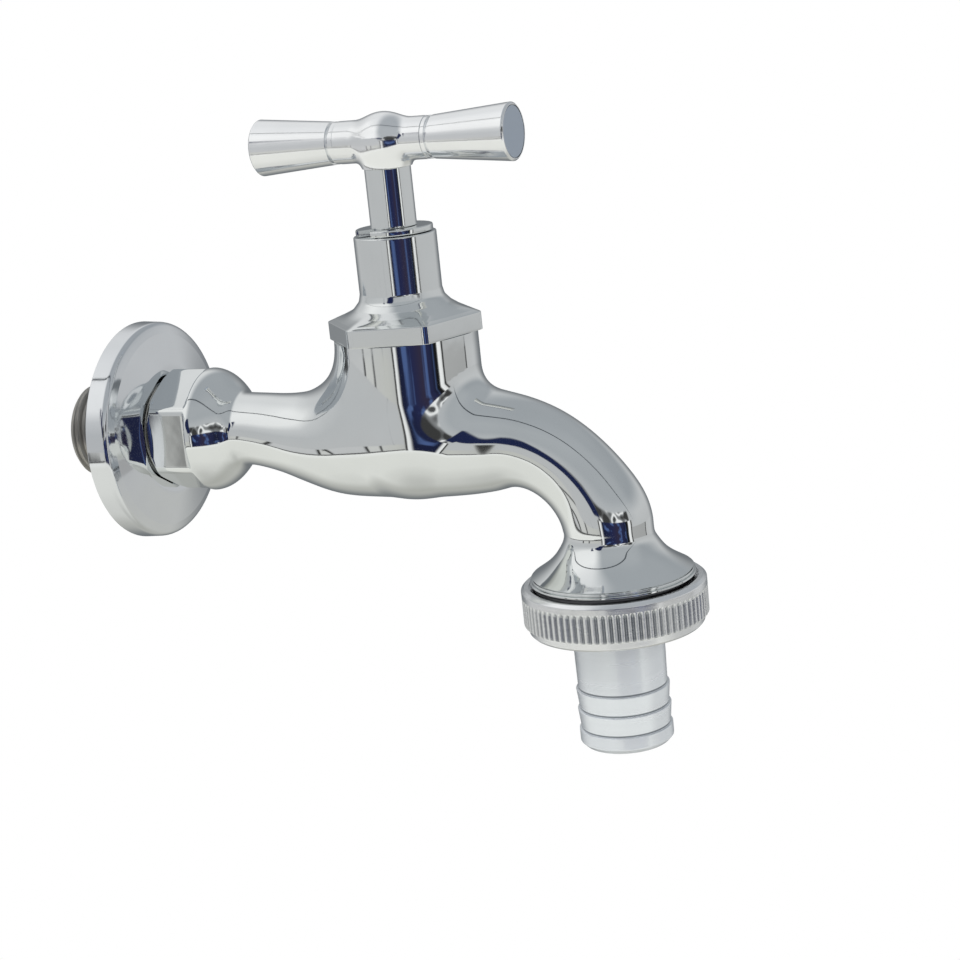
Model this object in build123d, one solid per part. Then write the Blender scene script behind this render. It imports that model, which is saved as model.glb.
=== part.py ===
from build123d import *
from math import cos, pi, radians, sin, sqrt
import os

# Wall mounted bib tap for a utility sink, with a T handle headwork and a hose union.
# Frame: the origin lies on the inlet axis in the plane of the wall.
# +X points out of the wall towards the spout, +Z points up, lengths are millimetres.

# Layout of the axes
bonnet_x = 67.5
outlet_x = 109.3
handle_z = 60.9
bonnet_seat_z = 20.2
spout_drop = 3.0
bend_radius = 19.3

# Running clearances and overruns
thread_clearance = 0.07
running_clearance = 0.05
cut_overrun = 2.0

# Inlet tail with its pipe thread, a size of one half inch
inlet_thread_r = 10.478
inlet_projection = 14.1
inlet_chamfer = 1.0
inlet_runout = 1.0
inlet_shank_r = 10.1
inlet_bore_r = 6.5
hex_back_x = 7.9
hex_flats = 24.0
hex_corner_r = 13.6
hex_length = 9.4
hex_chamfer = 0.9
hex_runout = 4.6
bell_r = 13.5
bell_land = 1.2
bell_length = 9.7

# Neck, belly and spout of the casting
neck_r = 8.0
belly_r = 12.7
waist_r = 9.4
spout_bore_r = 5.4
junction_fillet = 8.0

# Valve chamber and seat inside the casting
chamber_r = 15.2
chamber_wall = 2.0
chamber_floor_z = 0.6
chamber_bore_r = 12.0
chamber_thread_depth = 11.6
partition = 1.8
feed_bore_r = 5.4
feed_slope_start_x = 43.0
feed_slope_run = 12.0
seat_z = 2.0
seat_bore_r = 6.0
seat_land = 2.0
seat_well_r = 6.4
outlet_window_x = 76.0
outlet_window_z = 6.0
outlet_window_r = 5.0

# Outlet with its collar and union thread, a size of one inch
collar_r = 17.3
flare_height = 8.3
collar_height = 1.4
collar_round = 0.5
union_thread_r = 16.624
outlet_mouth_r = 11.5
outlet_mouth_depth = 5.4

# Wall rosette pressed from sheet
rosette_r = 24.2
rosette_skirt = 4.8
rosette_skirt_draft = 0.25
rosette_depth = 7.4
rosette_hub_r = 14.2
rosette_sheet = 0.9
rosette_round = 1.3
rosette_hole_clearance = 0.25

# Bonnet of the headwork
bonnet_flats = 29.2
bonnet_corner_r = 16.6
bonnet_hex_height = 3.2
bonnet_hex_turn = 11.9
bonnet_tube_r = 8.7
bonnet_top_z = 41.6
bonnet_flare_height = 5.8
bonnet_edge = 0.35
bonnet_thread_length = 10.6
bonnet_guide_r = 8.9
bonnet_shoulder_z = 26.2
key_width = 3.2
key_height = 1.5
key_length = 6.5
key_inset = 0.7

# Gasket under the bonnet flange
bonnet_gasket_height = 0.8
bonnet_gasket_width = 1.2

# Spindle
stem_r = 4.85
thrust_collar_r = 8.0
thrust_collar_height = 2.0
thrust_washer_height = 0.8
spindle_thread_r = 3.95
spindle_thread_length = 9.8
spindle_tip_chamfer = 0.6
drive_square = 6.6
drive_length = 7.0
o_ring_section = 1.6
o_ring_groove_width = 1.9
o_ring_upper_z = 36.4
o_ring_lower_z = 31.2

# Retaining clip on top of the bonnet
clip_r = 8.1
clip_height = 1.3
clip_groove_r = 4.2
clip_lift = 0.12
clip_gap_angle = 64.0
clip_gap_direction = -108.0

# Valve carrier with its washer and screw
carrier_length = 13.2
carrier_bore_depth = 10.0
carrier_edge = 0.5
washer_r = 8.0
washer_height = 3.0
washer_screw_r = 1.9
washer_screw_head_r = 3.6
washer_screw_head_height = 1.5
washer_screw_length = 5.0
screw_slot_width = 0.8
screw_slot_depth = 0.7

# T handle
hub_r = 5.8
hub_arm_r = 4.45
hub_arm_reach = 10.0
hub_neck_r = 5.05
hub_drop = 5.5
hub_fillet = 1.2
grip_reach = 29.2
grip_small_r = 4.35
grip_large_r = 5.95
grip_edge = 0.3
grip_groove_place = 1.0
grip_groove_width = 0.7
grip_groove_depth = 0.25
grip_stub_r = 2.5
grip_stub_length = 5.0
end_disc_r = 5.35
end_disc_height = 0.8
end_disc_sink = 0.06
grub_screw_r = 1.5
grub_screw_length = 1.9
grub_screw_drop = 1.5
grub_socket_flats = 1.5
grub_socket_depth = 1.0

# Union nut
nut_r = 19.4
nut_gap = 0.5
nut_rim_round = 0.9
nut_mouth_r = 17.6
nut_mouth_depth = 0.9
nut_band = 2.2
nut_serration_height = 6.0
nut_foot = 1.9
nut_foot_r = 18.4
nut_foot_edge = 0.5
nut_floor = 1.5
serration_count = 80
serration_depth = 0.5
serration_land_share = 0.36

# Hose tail and its gasket
tail_flange_r = 15.8
tail_flange_height = 1.45
tail_top_r = 9.7
tail_neck_r = 9.4
tail_bore_r = 7.6
tail_neck_length = 14.55
barb_r = 9.9
barb_count = 3
barb_pitch = 4.4
last_barb_height = 3.6
tail_end_chamfer = 1.1
union_gasket_height = 1.5
union_gasket_bore_r = 8.0

# Shapes of the cast curves, as shares of the sizes that they follow
neck_shares = [
    (0.0, 0.0, 0.0),
    (0.03, 0.01, 0.0),
    (0.09, 0.08, 0.02),
    (0.173, 0.22, 0.085),
    (0.272, 0.40, 0.22),
    (0.370, 0.56, 0.43),
    (0.469, 0.66, 0.67),
    (0.568, 0.72, 0.86),
    (0.765, 0.75, 0.98),
    (1.0, 0.76, 1.0),
]
spout_shares = [(0.42, 0.80, 0.85), (0.82, 0.92, 0.42), (1.0, 1.0, 0.14)]
bend_shares = [
    (0.2, 0.965, 0.965),
    (0.442, 0.94, 0.925),
    (0.72, 0.96, 0.955),
    (0.95, 1.0, 1.0),
    (1.0, 1.0, 1.0),
]
flare_shares = [(0.0, 0.0), (0.325, 0.139), (0.614, 0.392), (0.855, 0.74), (1.0, 1.0)]
bell_shares = [(0.0, 0.0), (0.3, 0.19), (0.6, 0.6), (0.82, 0.93), (1.0, 1.0)]
bonnet_flare_shares = [
    (0.0, 0.0),
    (0.207, 0.046),
    (0.466, 0.215),
    (0.672, 0.443),
    (0.81, 0.69),
    (1.0, 1.0),
]
hub_shares = [(0.0, 0.0), (0.25, 0.14), (0.5, 0.68), (0.75, 1.0)]

# Places worked out from the sizes above
bell_start_x = hex_back_x + hex_length
neck_start_x = bell_start_x + bell_length
bend_start_x = outlet_x - bend_radius
bend_end_z = -spout_drop - bend_radius
chamber_thread_r = chamber_r - chamber_wall
feed_z = chamber_floor_z - partition - feed_bore_r
feed_slope_end_x = feed_slope_start_x + feed_slope_run
seat_r = seat_bore_r + seat_land
collar_top_z = bend_end_z - flare_height
collar_bottom_z = collar_top_z - collar_height
nut_top_z = collar_bottom_z - nut_gap
nut_bore_r = union_thread_r + thread_clearance
nut_serration_top_z = nut_top_z - nut_band
nut_serration_bottom_z = nut_serration_top_z - nut_serration_height
nut_bottom_z = nut_serration_bottom_z - nut_foot
nut_floor_z = nut_bottom_z + nut_floor
tail_flange_bottom_z = nut_floor_z + running_clearance
tail_flange_top_z = tail_flange_bottom_z + tail_flange_height
outlet_end_z = tail_flange_top_z + union_gasket_height
first_barb_z = tail_flange_bottom_z - tail_neck_length
last_barb_z = first_barb_z - (barb_count - 1) * barb_pitch
tail_end_z = last_barb_z - last_barb_height
bonnet_bottom_z = bonnet_seat_z - bonnet_thread_length
bonnet_thread_r = chamber_thread_r - thread_clearance
bonnet_hex_top_z = bonnet_seat_z + bonnet_hex_height
bonnet_flare_top_z = bonnet_hex_top_z + bonnet_flare_height
gasket_r = bonnet_thread_r + thread_clearance + bonnet_gasket_width
stem_top_z = handle_z - hub_drop
grub_screw_z = handle_z - grub_screw_drop
stem_bore_r = stem_r + running_clearance
o_ring_groove_r = stem_r - o_ring_section + 2 * running_clearance
thrust_collar_top_z = bonnet_shoulder_z - thrust_washer_height
thrust_collar_bottom_z = thrust_collar_top_z - thrust_collar_height
spindle_tip_z = thrust_collar_bottom_z - spindle_thread_length
drive_top_z = stem_top_z + drive_length
clip_bottom_z = bonnet_top_z + clip_lift
clip_top_z = clip_bottom_z + clip_height
carrier_bottom_z = seat_z + washer_height
carrier_top_z = carrier_bottom_z + carrier_length
carrier_r = bonnet_guide_r - running_clearance
key_top_z = carrier_top_z - key_inset
key_r = carrier_r + key_height
washer_hole_r = washer_screw_r + running_clearance
grip_stub_end_x = hub_arm_reach + grip_stub_length


def turned(points):
    """Solid of revolution about the Z axis from points of radius and height."""
    outline = Polyline(*[(r, 0, z) for r, z in points], close=True)
    return revolve(make_face(outline), Axis.Z)


def turned_along_x(points):
    """Solid of revolution about the X axis from points of place and radius."""
    outline = Polyline(*[(x, 0, r) for x, r in points], close=True)
    return revolve(make_face(outline), Axis.X)


def upright(radius, bottom, top, centre_x=0.0):
    """Upright cylinder between two heights."""
    return Pos(centre_x, 0, (bottom + top) / 2) * Cylinder(radius, top - bottom)


def lying(radius, start, end, centre_z=0.0):
    """Cylinder along X between two places."""
    placed = Pos((start + end) / 2, 0, centre_z) * Rot(0, 90, 0)
    return placed * Cylinder(radius, end - start)


def leaning(radius, start, end):
    """Cylinder in the XZ plane from one point of place and height to another."""
    run = end[0] - start[0]
    rise = end[1] - start[1]
    length = sqrt(run ** 2 + rise ** 2)
    plane = Plane(origin=(start[0], 0, start[1]), x_dir=(0, 1, 0), z_dir=(run, 0, rise))
    return plane * Pos(0, 0, length / 2) * Cylinder(radius, length)


def ring(outer_r, inner_r, bottom, top, centre_x=0.0):
    """Upright ring between two heights."""
    inner = upright(inner_r, bottom - cut_overrun, top + cut_overrun, centre_x)
    return upright(outer_r, bottom, top, centre_x) - inner


def hexagon_prism(flats, height, turn=0.0):
    """Upright hexagonal prism that stands on the XY plane."""
    corner = flats / 2 / cos(pi / 6)
    return extrude(Rot(0, 0, turn) * RegularPolygon(corner, 6), height)


def block(size_x, size_y, bottom, top):
    """Upright block about the Z axis between two heights."""
    return Pos(0, 0, (bottom + top) / 2) * Box(size_x, size_y, top - bottom)


def run_section(x, z, radius, turn=0.0):
    """Circle square to the spine of the casting, which has turned down by an angle."""
    direction = (cos(radians(turn)), 0, -sin(radians(turn)))
    return Plane(origin=(x, 0, z), x_dir=(0, 1, 0), z_dir=direction) * Circle(radius)


def casting_run():
    """Neck, belly and spout as one loft through circles."""
    sections = []
    for place_share, drop_share, swell_share in neck_shares:
        x = neck_start_x + place_share * (bonnet_x - neck_start_x)
        radius = neck_r + swell_share * (belly_r - neck_r)
        sections.append(run_section(x, -drop_share * spout_drop, radius))
    for place_share, drop_share, swell_share in spout_shares:
        x = bonnet_x + place_share * (bend_start_x - bonnet_x)
        radius = waist_r + swell_share * (belly_r - waist_r)
        sections.append(run_section(x, -drop_share * spout_drop, radius))
    for turn_share, reach_share, swell_share in bend_shares:
        turn = turn_share * 90
        reach = reach_share * bend_radius
        x = bend_start_x + reach * sin(radians(turn))
        z = bend_end_z + reach * cos(radians(turn))
        sections.append(run_section(x, z, swell_share * waist_r, turn))
    return loft(Sketch() + sections)


def inlet_end():
    """Thread, shank, hexagon and bell, turned about the inlet axis."""
    thread_end = -inlet_projection
    thread = turned_along_x([
        (thread_end, 0),
        (thread_end, inlet_thread_r - inlet_chamfer),
        (thread_end + inlet_chamfer, inlet_thread_r),
        (inlet_runout, inlet_thread_r),
        (inlet_runout, inlet_shank_r),
        (hex_back_x, inlet_shank_r),
        (hex_back_x, 0),
    ])
    blank = turned_along_x([
        (hex_back_x, 0),
        (hex_back_x, hex_corner_r - hex_chamfer),
        (hex_back_x + hex_chamfer, hex_corner_r),
        (bell_start_x, hex_corner_r),
        (bell_start_x, 0),
    ])
    reach = hex_length + hex_runout
    prism = Pos(hex_back_x, 0, 0) * Rot(0, 90, 0) * hexagon_prism(hex_flats, reach)
    sleeve = lying(hex_corner_r + cut_overrun, hex_back_x, hex_back_x + reach)
    land_end = bell_start_x + bell_land
    curve_points = []
    for place_share, fall_share in bell_shares:
        x = land_end + place_share * (neck_start_x - land_end)
        curve_points.append((x, 0, bell_r - fall_share * (bell_r - neck_r)))
    profile = [
        Line((bell_start_x, 0, 0), (bell_start_x, 0, bell_r)),
        Line((bell_start_x, 0, bell_r), curve_points[0]),
        Spline(*curve_points, tangents=[(1, 0, 0), (1, 0, 0)]),
        Line(curve_points[-1], (neck_start_x, 0, 0)),
        Line((neck_start_x, 0, 0), (bell_start_x, 0, 0)),
    ]
    return thread + blank + revolve(make_face(profile), Axis.X) - (sleeve - prism)


def chamber():
    """Round valve chamber with a ball shaped bottom."""
    wall = upright(chamber_r, 0, bonnet_seat_z, bonnet_x)
    return wall + Pos(bonnet_x, 0, 0) * Sphere(chamber_r)


def blend_junction(outside):
    """Round the inner corners where the chamber stands on the run."""
    low = chamber_floor_z + partition
    corners = []
    for edge in outside.edges():
        box = edge.bounding_box()
        near = box.min.X > bonnet_x - chamber_r - junction_fillet
        near = near and box.max.X < bonnet_x + chamber_r + junction_fillet
        if near and box.max.Z < bonnet_seat_z - cut_overrun and box.max.Z > low:
            corners.append(edge)
    return fillet(corners, junction_fillet)


def outlet_end():
    """Flared outlet, collar bead and union thread, turned about the outlet axis."""
    rim_r = collar_r - collar_round
    curve_points = []
    for fall_share, spread_share in flare_shares:
        z = bend_end_z - fall_share * (bend_end_z - collar_top_z)
        curve_points.append((waist_r + spread_share * (rim_r - waist_r), 0, z))
    profile = [
        Line((0, 0, bend_end_z), (waist_r, 0, bend_end_z)),
        Spline(*curve_points, tangents=[(0, 0, -1), (1, 0, -1)]),
        ThreePointArc(
            (rim_r, 0, collar_top_z),
            (collar_r, 0, (collar_top_z + collar_bottom_z) / 2),
            (rim_r, 0, collar_bottom_z),
        ),
        Line((rim_r, 0, collar_bottom_z), (union_thread_r, 0, collar_bottom_z)),
        Line((union_thread_r, 0, collar_bottom_z), (union_thread_r, 0, outlet_end_z)),
        Line((union_thread_r, 0, outlet_end_z), (0, 0, outlet_end_z)),
        Line((0, 0, outlet_end_z), (0, 0, bend_end_z)),
    ]
    return Pos(outlet_x, 0, 0) * revolve(make_face(profile), Axis.Z)


def feed_waterway():
    """Space from the inlet up to the seat."""
    bend = (feed_slope_start_x, 0)
    turn = (feed_slope_end_x, feed_z)
    space = lying(inlet_bore_r, -inlet_projection - cut_overrun, feed_slope_start_x)
    space += Pos(bend[0], 0, bend[1]) * Sphere(inlet_bore_r)
    space += leaning(feed_bore_r, bend, turn)
    space += Pos(turn[0], 0, turn[1]) * Sphere(feed_bore_r)
    space += leaning(feed_bore_r, turn, (bonnet_x, feed_z))
    space += Pos(bonnet_x, 0, feed_z) * Sphere(seat_well_r)
    return space + upright(seat_bore_r, feed_z, seat_z + cut_overrun, bonnet_x)


def outlet_waterway():
    """Space from the chamber above the seat through the spout to the outlet."""
    thread_bottom = bonnet_seat_z - chamber_thread_depth
    space = upright(chamber_bore_r, chamber_floor_z, bonnet_seat_z, bonnet_x)
    space += upright(chamber_thread_r, thread_bottom, bonnet_seat_z + cut_overrun, bonnet_x)
    bend_start = (bend_start_x, -spout_drop)
    space += leaning(outlet_window_r, (outlet_window_x, outlet_window_z), bend_start)
    middle_x = bend_start_x + bend_radius * sin(pi / 4)
    middle_z = bend_end_z + bend_radius * cos(pi / 4)
    bend_end = (outlet_x, 0, bend_end_z)
    path = ThreePointArc((bend_start_x, 0, -spout_drop), (middle_x, 0, middle_z), bend_end)
    path += Line(bend_end, (outlet_x, 0, outlet_end_z - cut_overrun))
    space += sweep(run_section(bend_start_x, -spout_drop, spout_bore_r), path)
    space += Pos(bend_start_x, 0, -spout_drop) * Sphere(spout_bore_r)
    mouth_top = outlet_end_z + outlet_mouth_depth
    space += upright(outlet_mouth_r, outlet_end_z - cut_overrun, mouth_top, outlet_x)
    return space - upright(seat_r, chamber_floor_z - partition, seat_z, bonnet_x)


def valve_body():
    """Cast and machined body of the tap."""
    outside = blend_junction(casting_run() + chamber())
    outside = outside + inlet_end() + outlet_end()
    return outside - feed_waterway() - outlet_waterway()


def wall_rosette():
    """Pressed cover that hides the hole in the wall."""
    dome = turned_along_x([
        (0, 0),
        (0, rosette_r),
        (rosette_skirt, rosette_r - rosette_skirt_draft),
        (rosette_depth, rosette_hub_r),
        (rosette_depth, 0),
    ])
    rim = dome.edges().filter_by(GeomType.CIRCLE).sort_by(Axis.X)[1]
    dome = fillet(rim, rosette_round)
    back = dome.faces().sort_by(Axis.X)[0]
    shell = offset(dome, amount=-rosette_sheet, openings=back)
    hole_r = inlet_thread_r + rosette_hole_clearance
    return shell - lying(hole_r, -cut_overrun, rosette_depth + cut_overrun)


def bonnet():
    """Headwork bonnet with its hexagon flange, guide bore and stem bore."""
    top_r = bonnet_tube_r - bonnet_edge
    curve_points = []
    for fall_share, spread_share in bonnet_flare_shares:
        r = bonnet_tube_r + spread_share * (bonnet_corner_r - bonnet_tube_r)
        curve_points.append((r, 0, bonnet_flare_top_z - fall_share * bonnet_flare_height))
    flare_end = (bonnet_corner_r, 0, bonnet_hex_top_z)
    profile = [
        Line((0, 0, bonnet_seat_z), (0, 0, bonnet_top_z)),
        Line((0, 0, bonnet_top_z), (top_r, 0, bonnet_top_z)),
        Line((top_r, 0, bonnet_top_z), (bonnet_tube_r, 0, bonnet_top_z - bonnet_edge)),
        Line((bonnet_tube_r, 0, bonnet_top_z - bonnet_edge), curve_points[0]),
        Spline(*curve_points, tangents=[(0, 0, -1), (1, 0, -0.35)]),
        Line(flare_end, (bonnet_corner_r, 0, bonnet_seat_z)),
        Line((bonnet_corner_r, 0, bonnet_seat_z), (0, 0, bonnet_seat_z)),
    ]
    flats = hexagon_prism(bonnet_flats, bonnet_top_z - bonnet_seat_z, bonnet_hex_turn)
    outside = revolve(make_face(profile), Axis.Z) & (Pos(0, 0, bonnet_seat_z) * flats)
    outside += upright(bonnet_thread_r, bonnet_bottom_z, bonnet_seat_z + bonnet_gasket_height)
    gasket_top_z = bonnet_seat_z + bonnet_gasket_height
    inner = upright(bonnet_thread_r, bonnet_seat_z, gasket_top_z)
    outside -= upright(gasket_r, bonnet_seat_z, gasket_top_z) - inner
    outside -= upright(bonnet_guide_r, bonnet_bottom_z - cut_overrun, bonnet_shoulder_z)
    outside -= upright(stem_bore_r, bonnet_shoulder_z, bonnet_top_z + cut_overrun)
    slot_r = key_r + running_clearance
    slot_top_z = thrust_collar_bottom_z
    slot_width = key_width + 2 * running_clearance
    slot = block(2 * slot_r, slot_width, bonnet_bottom_z - cut_overrun, slot_top_z)
    return Pos(bonnet_x, 0, 0) * (outside - slot)


def bonnet_gasket():
    """Flat ring between the bonnet flange and the rim of the chamber."""
    top = bonnet_seat_z + bonnet_gasket_height
    return ring(gasket_r, bonnet_thread_r, bonnet_seat_z, top, bonnet_x)


def spindle():
    """Turned spindle with a square end, ring grooves, a collar and a lifting thread."""
    top = turned([
        (0, thrust_collar_bottom_z),
        (thrust_collar_r, thrust_collar_bottom_z),
        (thrust_collar_r, thrust_collar_top_z),
        (stem_r, thrust_collar_top_z),
        (stem_r, stem_top_z),
        (0, stem_top_z),
    ])
    tip_r = spindle_thread_r - spindle_tip_chamfer
    screw = turned([
        (0, spindle_tip_z),
        (tip_r, spindle_tip_z),
        (spindle_thread_r, spindle_tip_z + spindle_tip_chamfer),
        (spindle_thread_r, thrust_collar_bottom_z),
        (0, thrust_collar_bottom_z),
    ])
    square = block(drive_square, drive_square, stem_top_z, drive_top_z)
    square &= upright(stem_r - running_clearance, stem_top_z, drive_top_z)
    shaft = top + screw + square
    for z in (o_ring_lower_z, o_ring_upper_z):
        low = z - o_ring_groove_width / 2
        shaft -= ring(stem_r + cut_overrun, o_ring_groove_r, low, low + o_ring_groove_width)
    groove_top = clip_top_z + running_clearance
    shaft -= ring(stem_r + cut_overrun, clip_groove_r, bonnet_top_z, groove_top)
    return Pos(bonnet_x, 0, 0) * shaft


def o_ring(z):
    """Rubber ring in a groove of the spindle, pressed to the width of its gap."""
    outer_r = stem_r + running_clearance / 2
    middle_r = (outer_r + o_ring_groove_r) / 2
    squeezed = (outer_r - o_ring_groove_r) / 2
    section = Pos(middle_r, 0, z) * Rot(90, 0, 0) * Ellipse(squeezed, o_ring_section / 2)
    return Pos(bonnet_x, 0, 0) * revolve(section, Axis.Z)


def thrust_washer():
    """Slip washer between the spindle collar and the bonnet shoulder."""
    inner_r = stem_r + 2 * running_clearance
    outer_r = thrust_collar_r
    return ring(outer_r, inner_r, thrust_collar_top_z, bonnet_shoulder_z, bonnet_x)


def retaining_clip():
    """Open ring that snaps into the groove of the spindle on top of the bonnet."""
    start = clip_gap_direction + clip_gap_angle / 2
    sweep_angle = 360 - clip_gap_angle
    middle_r = (clip_r + clip_groove_r + running_clearance) / 2
    width = clip_r - clip_groove_r - running_clearance
    section = Pos(middle_r, 0, (clip_bottom_z + clip_top_z) / 2) * Rot(90, 0, 0)
    section = section * RectangleRounded(width, clip_height, clip_height / 4)
    ring_part = revolve(section, Axis.Z, sweep_angle)
    return Pos(bonnet_x, 0, 0) * Rot(0, 0, start) * ring_part


def valve_carrier():
    """Keyed carrier that the spindle lifts off the seat."""
    barrel = upright(carrier_r, carrier_bottom_z, carrier_top_z)
    barrel = chamfer(barrel.edges().filter_by(GeomType.CIRCLE), carrier_edge)
    keys = block(2 * key_r, key_width, key_top_z - key_length, key_top_z)
    bore_bottom_z = carrier_top_z - carrier_bore_depth
    bore_r = spindle_thread_r + running_clearance
    barrel = barrel + keys
    barrel -= upright(bore_r, bore_bottom_z, carrier_top_z + cut_overrun)
    screw_top_z = seat_z + washer_screw_length + running_clearance
    barrel -= upright(washer_hole_r, carrier_bottom_z - cut_overrun, screw_top_z)
    return Pos(bonnet_x, 0, 0) * barrel


def seat_washer():
    """Rubber washer that closes the seat."""
    return ring(washer_r, washer_hole_r, seat_z, carrier_bottom_z, bonnet_x)


def washer_screw():
    """Slotted screw that holds the seat washer on the carrier."""
    head_bottom_z = seat_z - washer_screw_head_height
    screw = upright(washer_screw_head_r, head_bottom_z, seat_z)
    screw = chamfer(screw.edges().filter_by(GeomType.CIRCLE).sort_by(Axis.Z)[0], screw_slot_width / 2)
    screw += upright(washer_screw_r, seat_z, seat_z + washer_screw_length)
    slot_bottom_z = head_bottom_z - cut_overrun
    slot_top_z = head_bottom_z + screw_slot_depth
    screw -= block(4 * washer_screw_head_r, screw_slot_width, slot_bottom_z, slot_top_z)
    return Pos(bonnet_x, 0, 0) * screw


def handle_hub():
    """Hub of the T handle with a swell in the middle and two stubs for the grips."""
    curve_points = []
    for place_share, fall_share in hub_shares:
        curve_points.append((place_share * hub_arm_reach, 0, hub_r - fall_share * (hub_r - hub_arm_r)))
    knee = curve_points[-1]
    profile = [
        Line((0, 0, 0), (0, 0, hub_r)),
        Spline(*curve_points, tangents=[(1, 0, 0), (1, 0, 0)]),
        Line(knee, (hub_arm_reach, 0, hub_arm_r)),
        Line((hub_arm_reach, 0, hub_arm_r), (hub_arm_reach, 0, grip_stub_r)),
        Line((hub_arm_reach, 0, grip_stub_r), (grip_stub_end_x, 0, grip_stub_r)),
        Line((grip_stub_end_x, 0, grip_stub_r), (grip_stub_end_x, 0, 0)),
        Line((grip_stub_end_x, 0, 0), (0, 0, 0)),
    ]
    half = revolve(make_face(profile), Axis.X)
    cross = half + mirror(half, Plane.YZ)
    neck = upright(hub_neck_r, stem_top_z - handle_z, 0)
    joined = cross + neck
    corners = []
    for edge in joined.edges():
        box = edge.bounding_box()
        above_foot = box.min.Z > stem_top_z - handle_z + running_clearance
        if above_foot and box.max.X < hub_arm_reach - grip_edge and box.min.X > grip_edge - hub_arm_reach:
            if box.max.Z < 0:
                corners.append(edge)
    joined = fillet(corners, hub_fillet)
    square = drive_square + 2 * running_clearance
    socket_top = drive_top_z + running_clearance - handle_z
    joined -= block(square, square, stem_top_z - handle_z - cut_overrun, socket_top)
    start = drive_square / 2 + running_clearance
    hole = Pos(0, start + hub_r / 2, grub_screw_z - handle_z) * Rot(90, 0, 0)
    joined -= hole * Cylinder(grub_screw_r + running_clearance, hub_r)
    return Pos(bonnet_x, 0, handle_z) * joined


def handle_grip(side):
    """Tapered grip screwed on a stub of the hub, on the side of the sign given."""
    groove_start = hub_arm_reach + grip_groove_place
    groove_end = groove_start + grip_groove_width
    slope = (grip_large_r - grip_small_r) / (grip_reach - hub_arm_reach)
    groove_r = grip_small_r - grip_groove_depth
    end_r = grip_large_r - grip_edge
    grip = turned_along_x([
        (hub_arm_reach, 0),
        (hub_arm_reach, grip_small_r),
        (groove_start, grip_small_r + slope * grip_groove_place),
        (groove_start, groove_r),
        (groove_end, groove_r),
        (groove_end, grip_small_r + slope * (grip_groove_place + grip_groove_width)),
        (grip_reach - grip_edge, grip_large_r),
        (grip_reach, end_r),
        (grip_reach, 0),
    ])
    hole_end = grip_stub_end_x + running_clearance
    grip -= lying(grip_stub_r + running_clearance, hub_arm_reach - cut_overrun, hole_end)
    recess_start = grip_reach - end_disc_height - end_disc_sink
    grip -= lying(end_disc_r + running_clearance, recess_start, grip_reach + cut_overrun)
    if side < 0:
        grip = mirror(grip, Plane.YZ)
    return Pos(bonnet_x, 0, handle_z) * grip


def handle_end_disc(side):
    """Flat disc let into the end of a grip."""
    end = grip_reach - end_disc_sink
    disc = lying(end_disc_r, end - end_disc_height, end)
    if side < 0:
        disc = mirror(disc, Plane.YZ)
    return Pos(bonnet_x, 0, handle_z) * disc


def handle_grub_screw():
    """Socket set screw that clamps the hub on the square of the spindle."""
    start = drive_square / 2
    screw = Cylinder(grub_screw_r, grub_screw_length)
    socket = Pos(0, 0, grub_screw_length / 2 - grub_socket_depth)
    screw -= socket * hexagon_prism(grub_socket_flats, grub_socket_depth + cut_overrun)
    placed = Pos(bonnet_x, start + grub_screw_length / 2, grub_screw_z) * Rot(-90, 0, 0)
    return placed * screw


def serrated_band():
    """Band of upright teeth around the union nut."""
    points = []
    valley_r = nut_r - serration_depth
    pitch_angle = 2 * pi / serration_count
    for index in range(serration_count):
        middle = index * pitch_angle
        for turn_share in (-serration_land_share / 2, serration_land_share / 2):
            angle = middle + turn_share * pitch_angle
            points.append((nut_r * cos(angle), nut_r * sin(angle)))
        angle = middle + pitch_angle / 2
        points.append((valley_r * cos(angle), valley_r * sin(angle)))
    outline = make_face(Polyline(*points, close=True))
    return Pos(0, 0, nut_serration_bottom_z) * extrude(outline, nut_serration_height)


def union_nut():
    """Loose nut that draws the hose tail up against the outlet."""
    band = upright(nut_r, nut_serration_top_z, nut_top_z)
    band = fillet(band.edges().filter_by(GeomType.CIRCLE).sort_by(Axis.Z)[-1], nut_rim_round)
    foot = upright(nut_foot_r, nut_bottom_z, nut_serration_bottom_z)
    foot = chamfer(foot.edges().filter_by(GeomType.CIRCLE).sort_by(Axis.Z)[0], nut_foot_edge)
    nut = band + serrated_band() + foot
    mouth_bottom_z = nut_top_z - nut_mouth_depth
    bore = turned([
        (0, nut_floor_z),
        (nut_bore_r, nut_floor_z),
        (nut_bore_r, mouth_bottom_z),
        (nut_mouth_r, nut_top_z),
        (nut_mouth_r, nut_top_z + cut_overrun),
        (0, nut_top_z + cut_overrun),
    ])
    hole_r = tail_top_r + 2 * running_clearance
    nut = nut - bore - upright(hole_r, nut_bottom_z - cut_overrun, nut_floor_z + cut_overrun)
    return Pos(outlet_x, 0, 0) * nut


def hose_tail():
    """Flanged tail with saw tooth barbs for a push on hose."""
    points = [
        (tail_bore_r, tail_end_z),
        (tail_bore_r, tail_flange_top_z),
        (tail_flange_r, tail_flange_top_z),
        (tail_flange_r, tail_flange_bottom_z),
        (tail_top_r, tail_flange_bottom_z),
        (tail_neck_r, first_barb_z),
    ]
    for index in range(barb_count - 1):
        edge_z = first_barb_z - index * barb_pitch
        points.append((barb_r, edge_z))
        points.append((tail_neck_r, edge_z - barb_pitch))
    points.append((barb_r, last_barb_z))
    points.append((barb_r, tail_end_z + tail_end_chamfer))
    points.append((barb_r - tail_end_chamfer, tail_end_z))
    return Pos(outlet_x, 0, 0) * turned(points)


def union_gasket():
    """Flat ring that seals the hose tail against the outlet."""
    return ring(tail_flange_r, union_gasket_bore_r, tail_flange_top_z, outlet_end_z, outlet_x)


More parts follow.
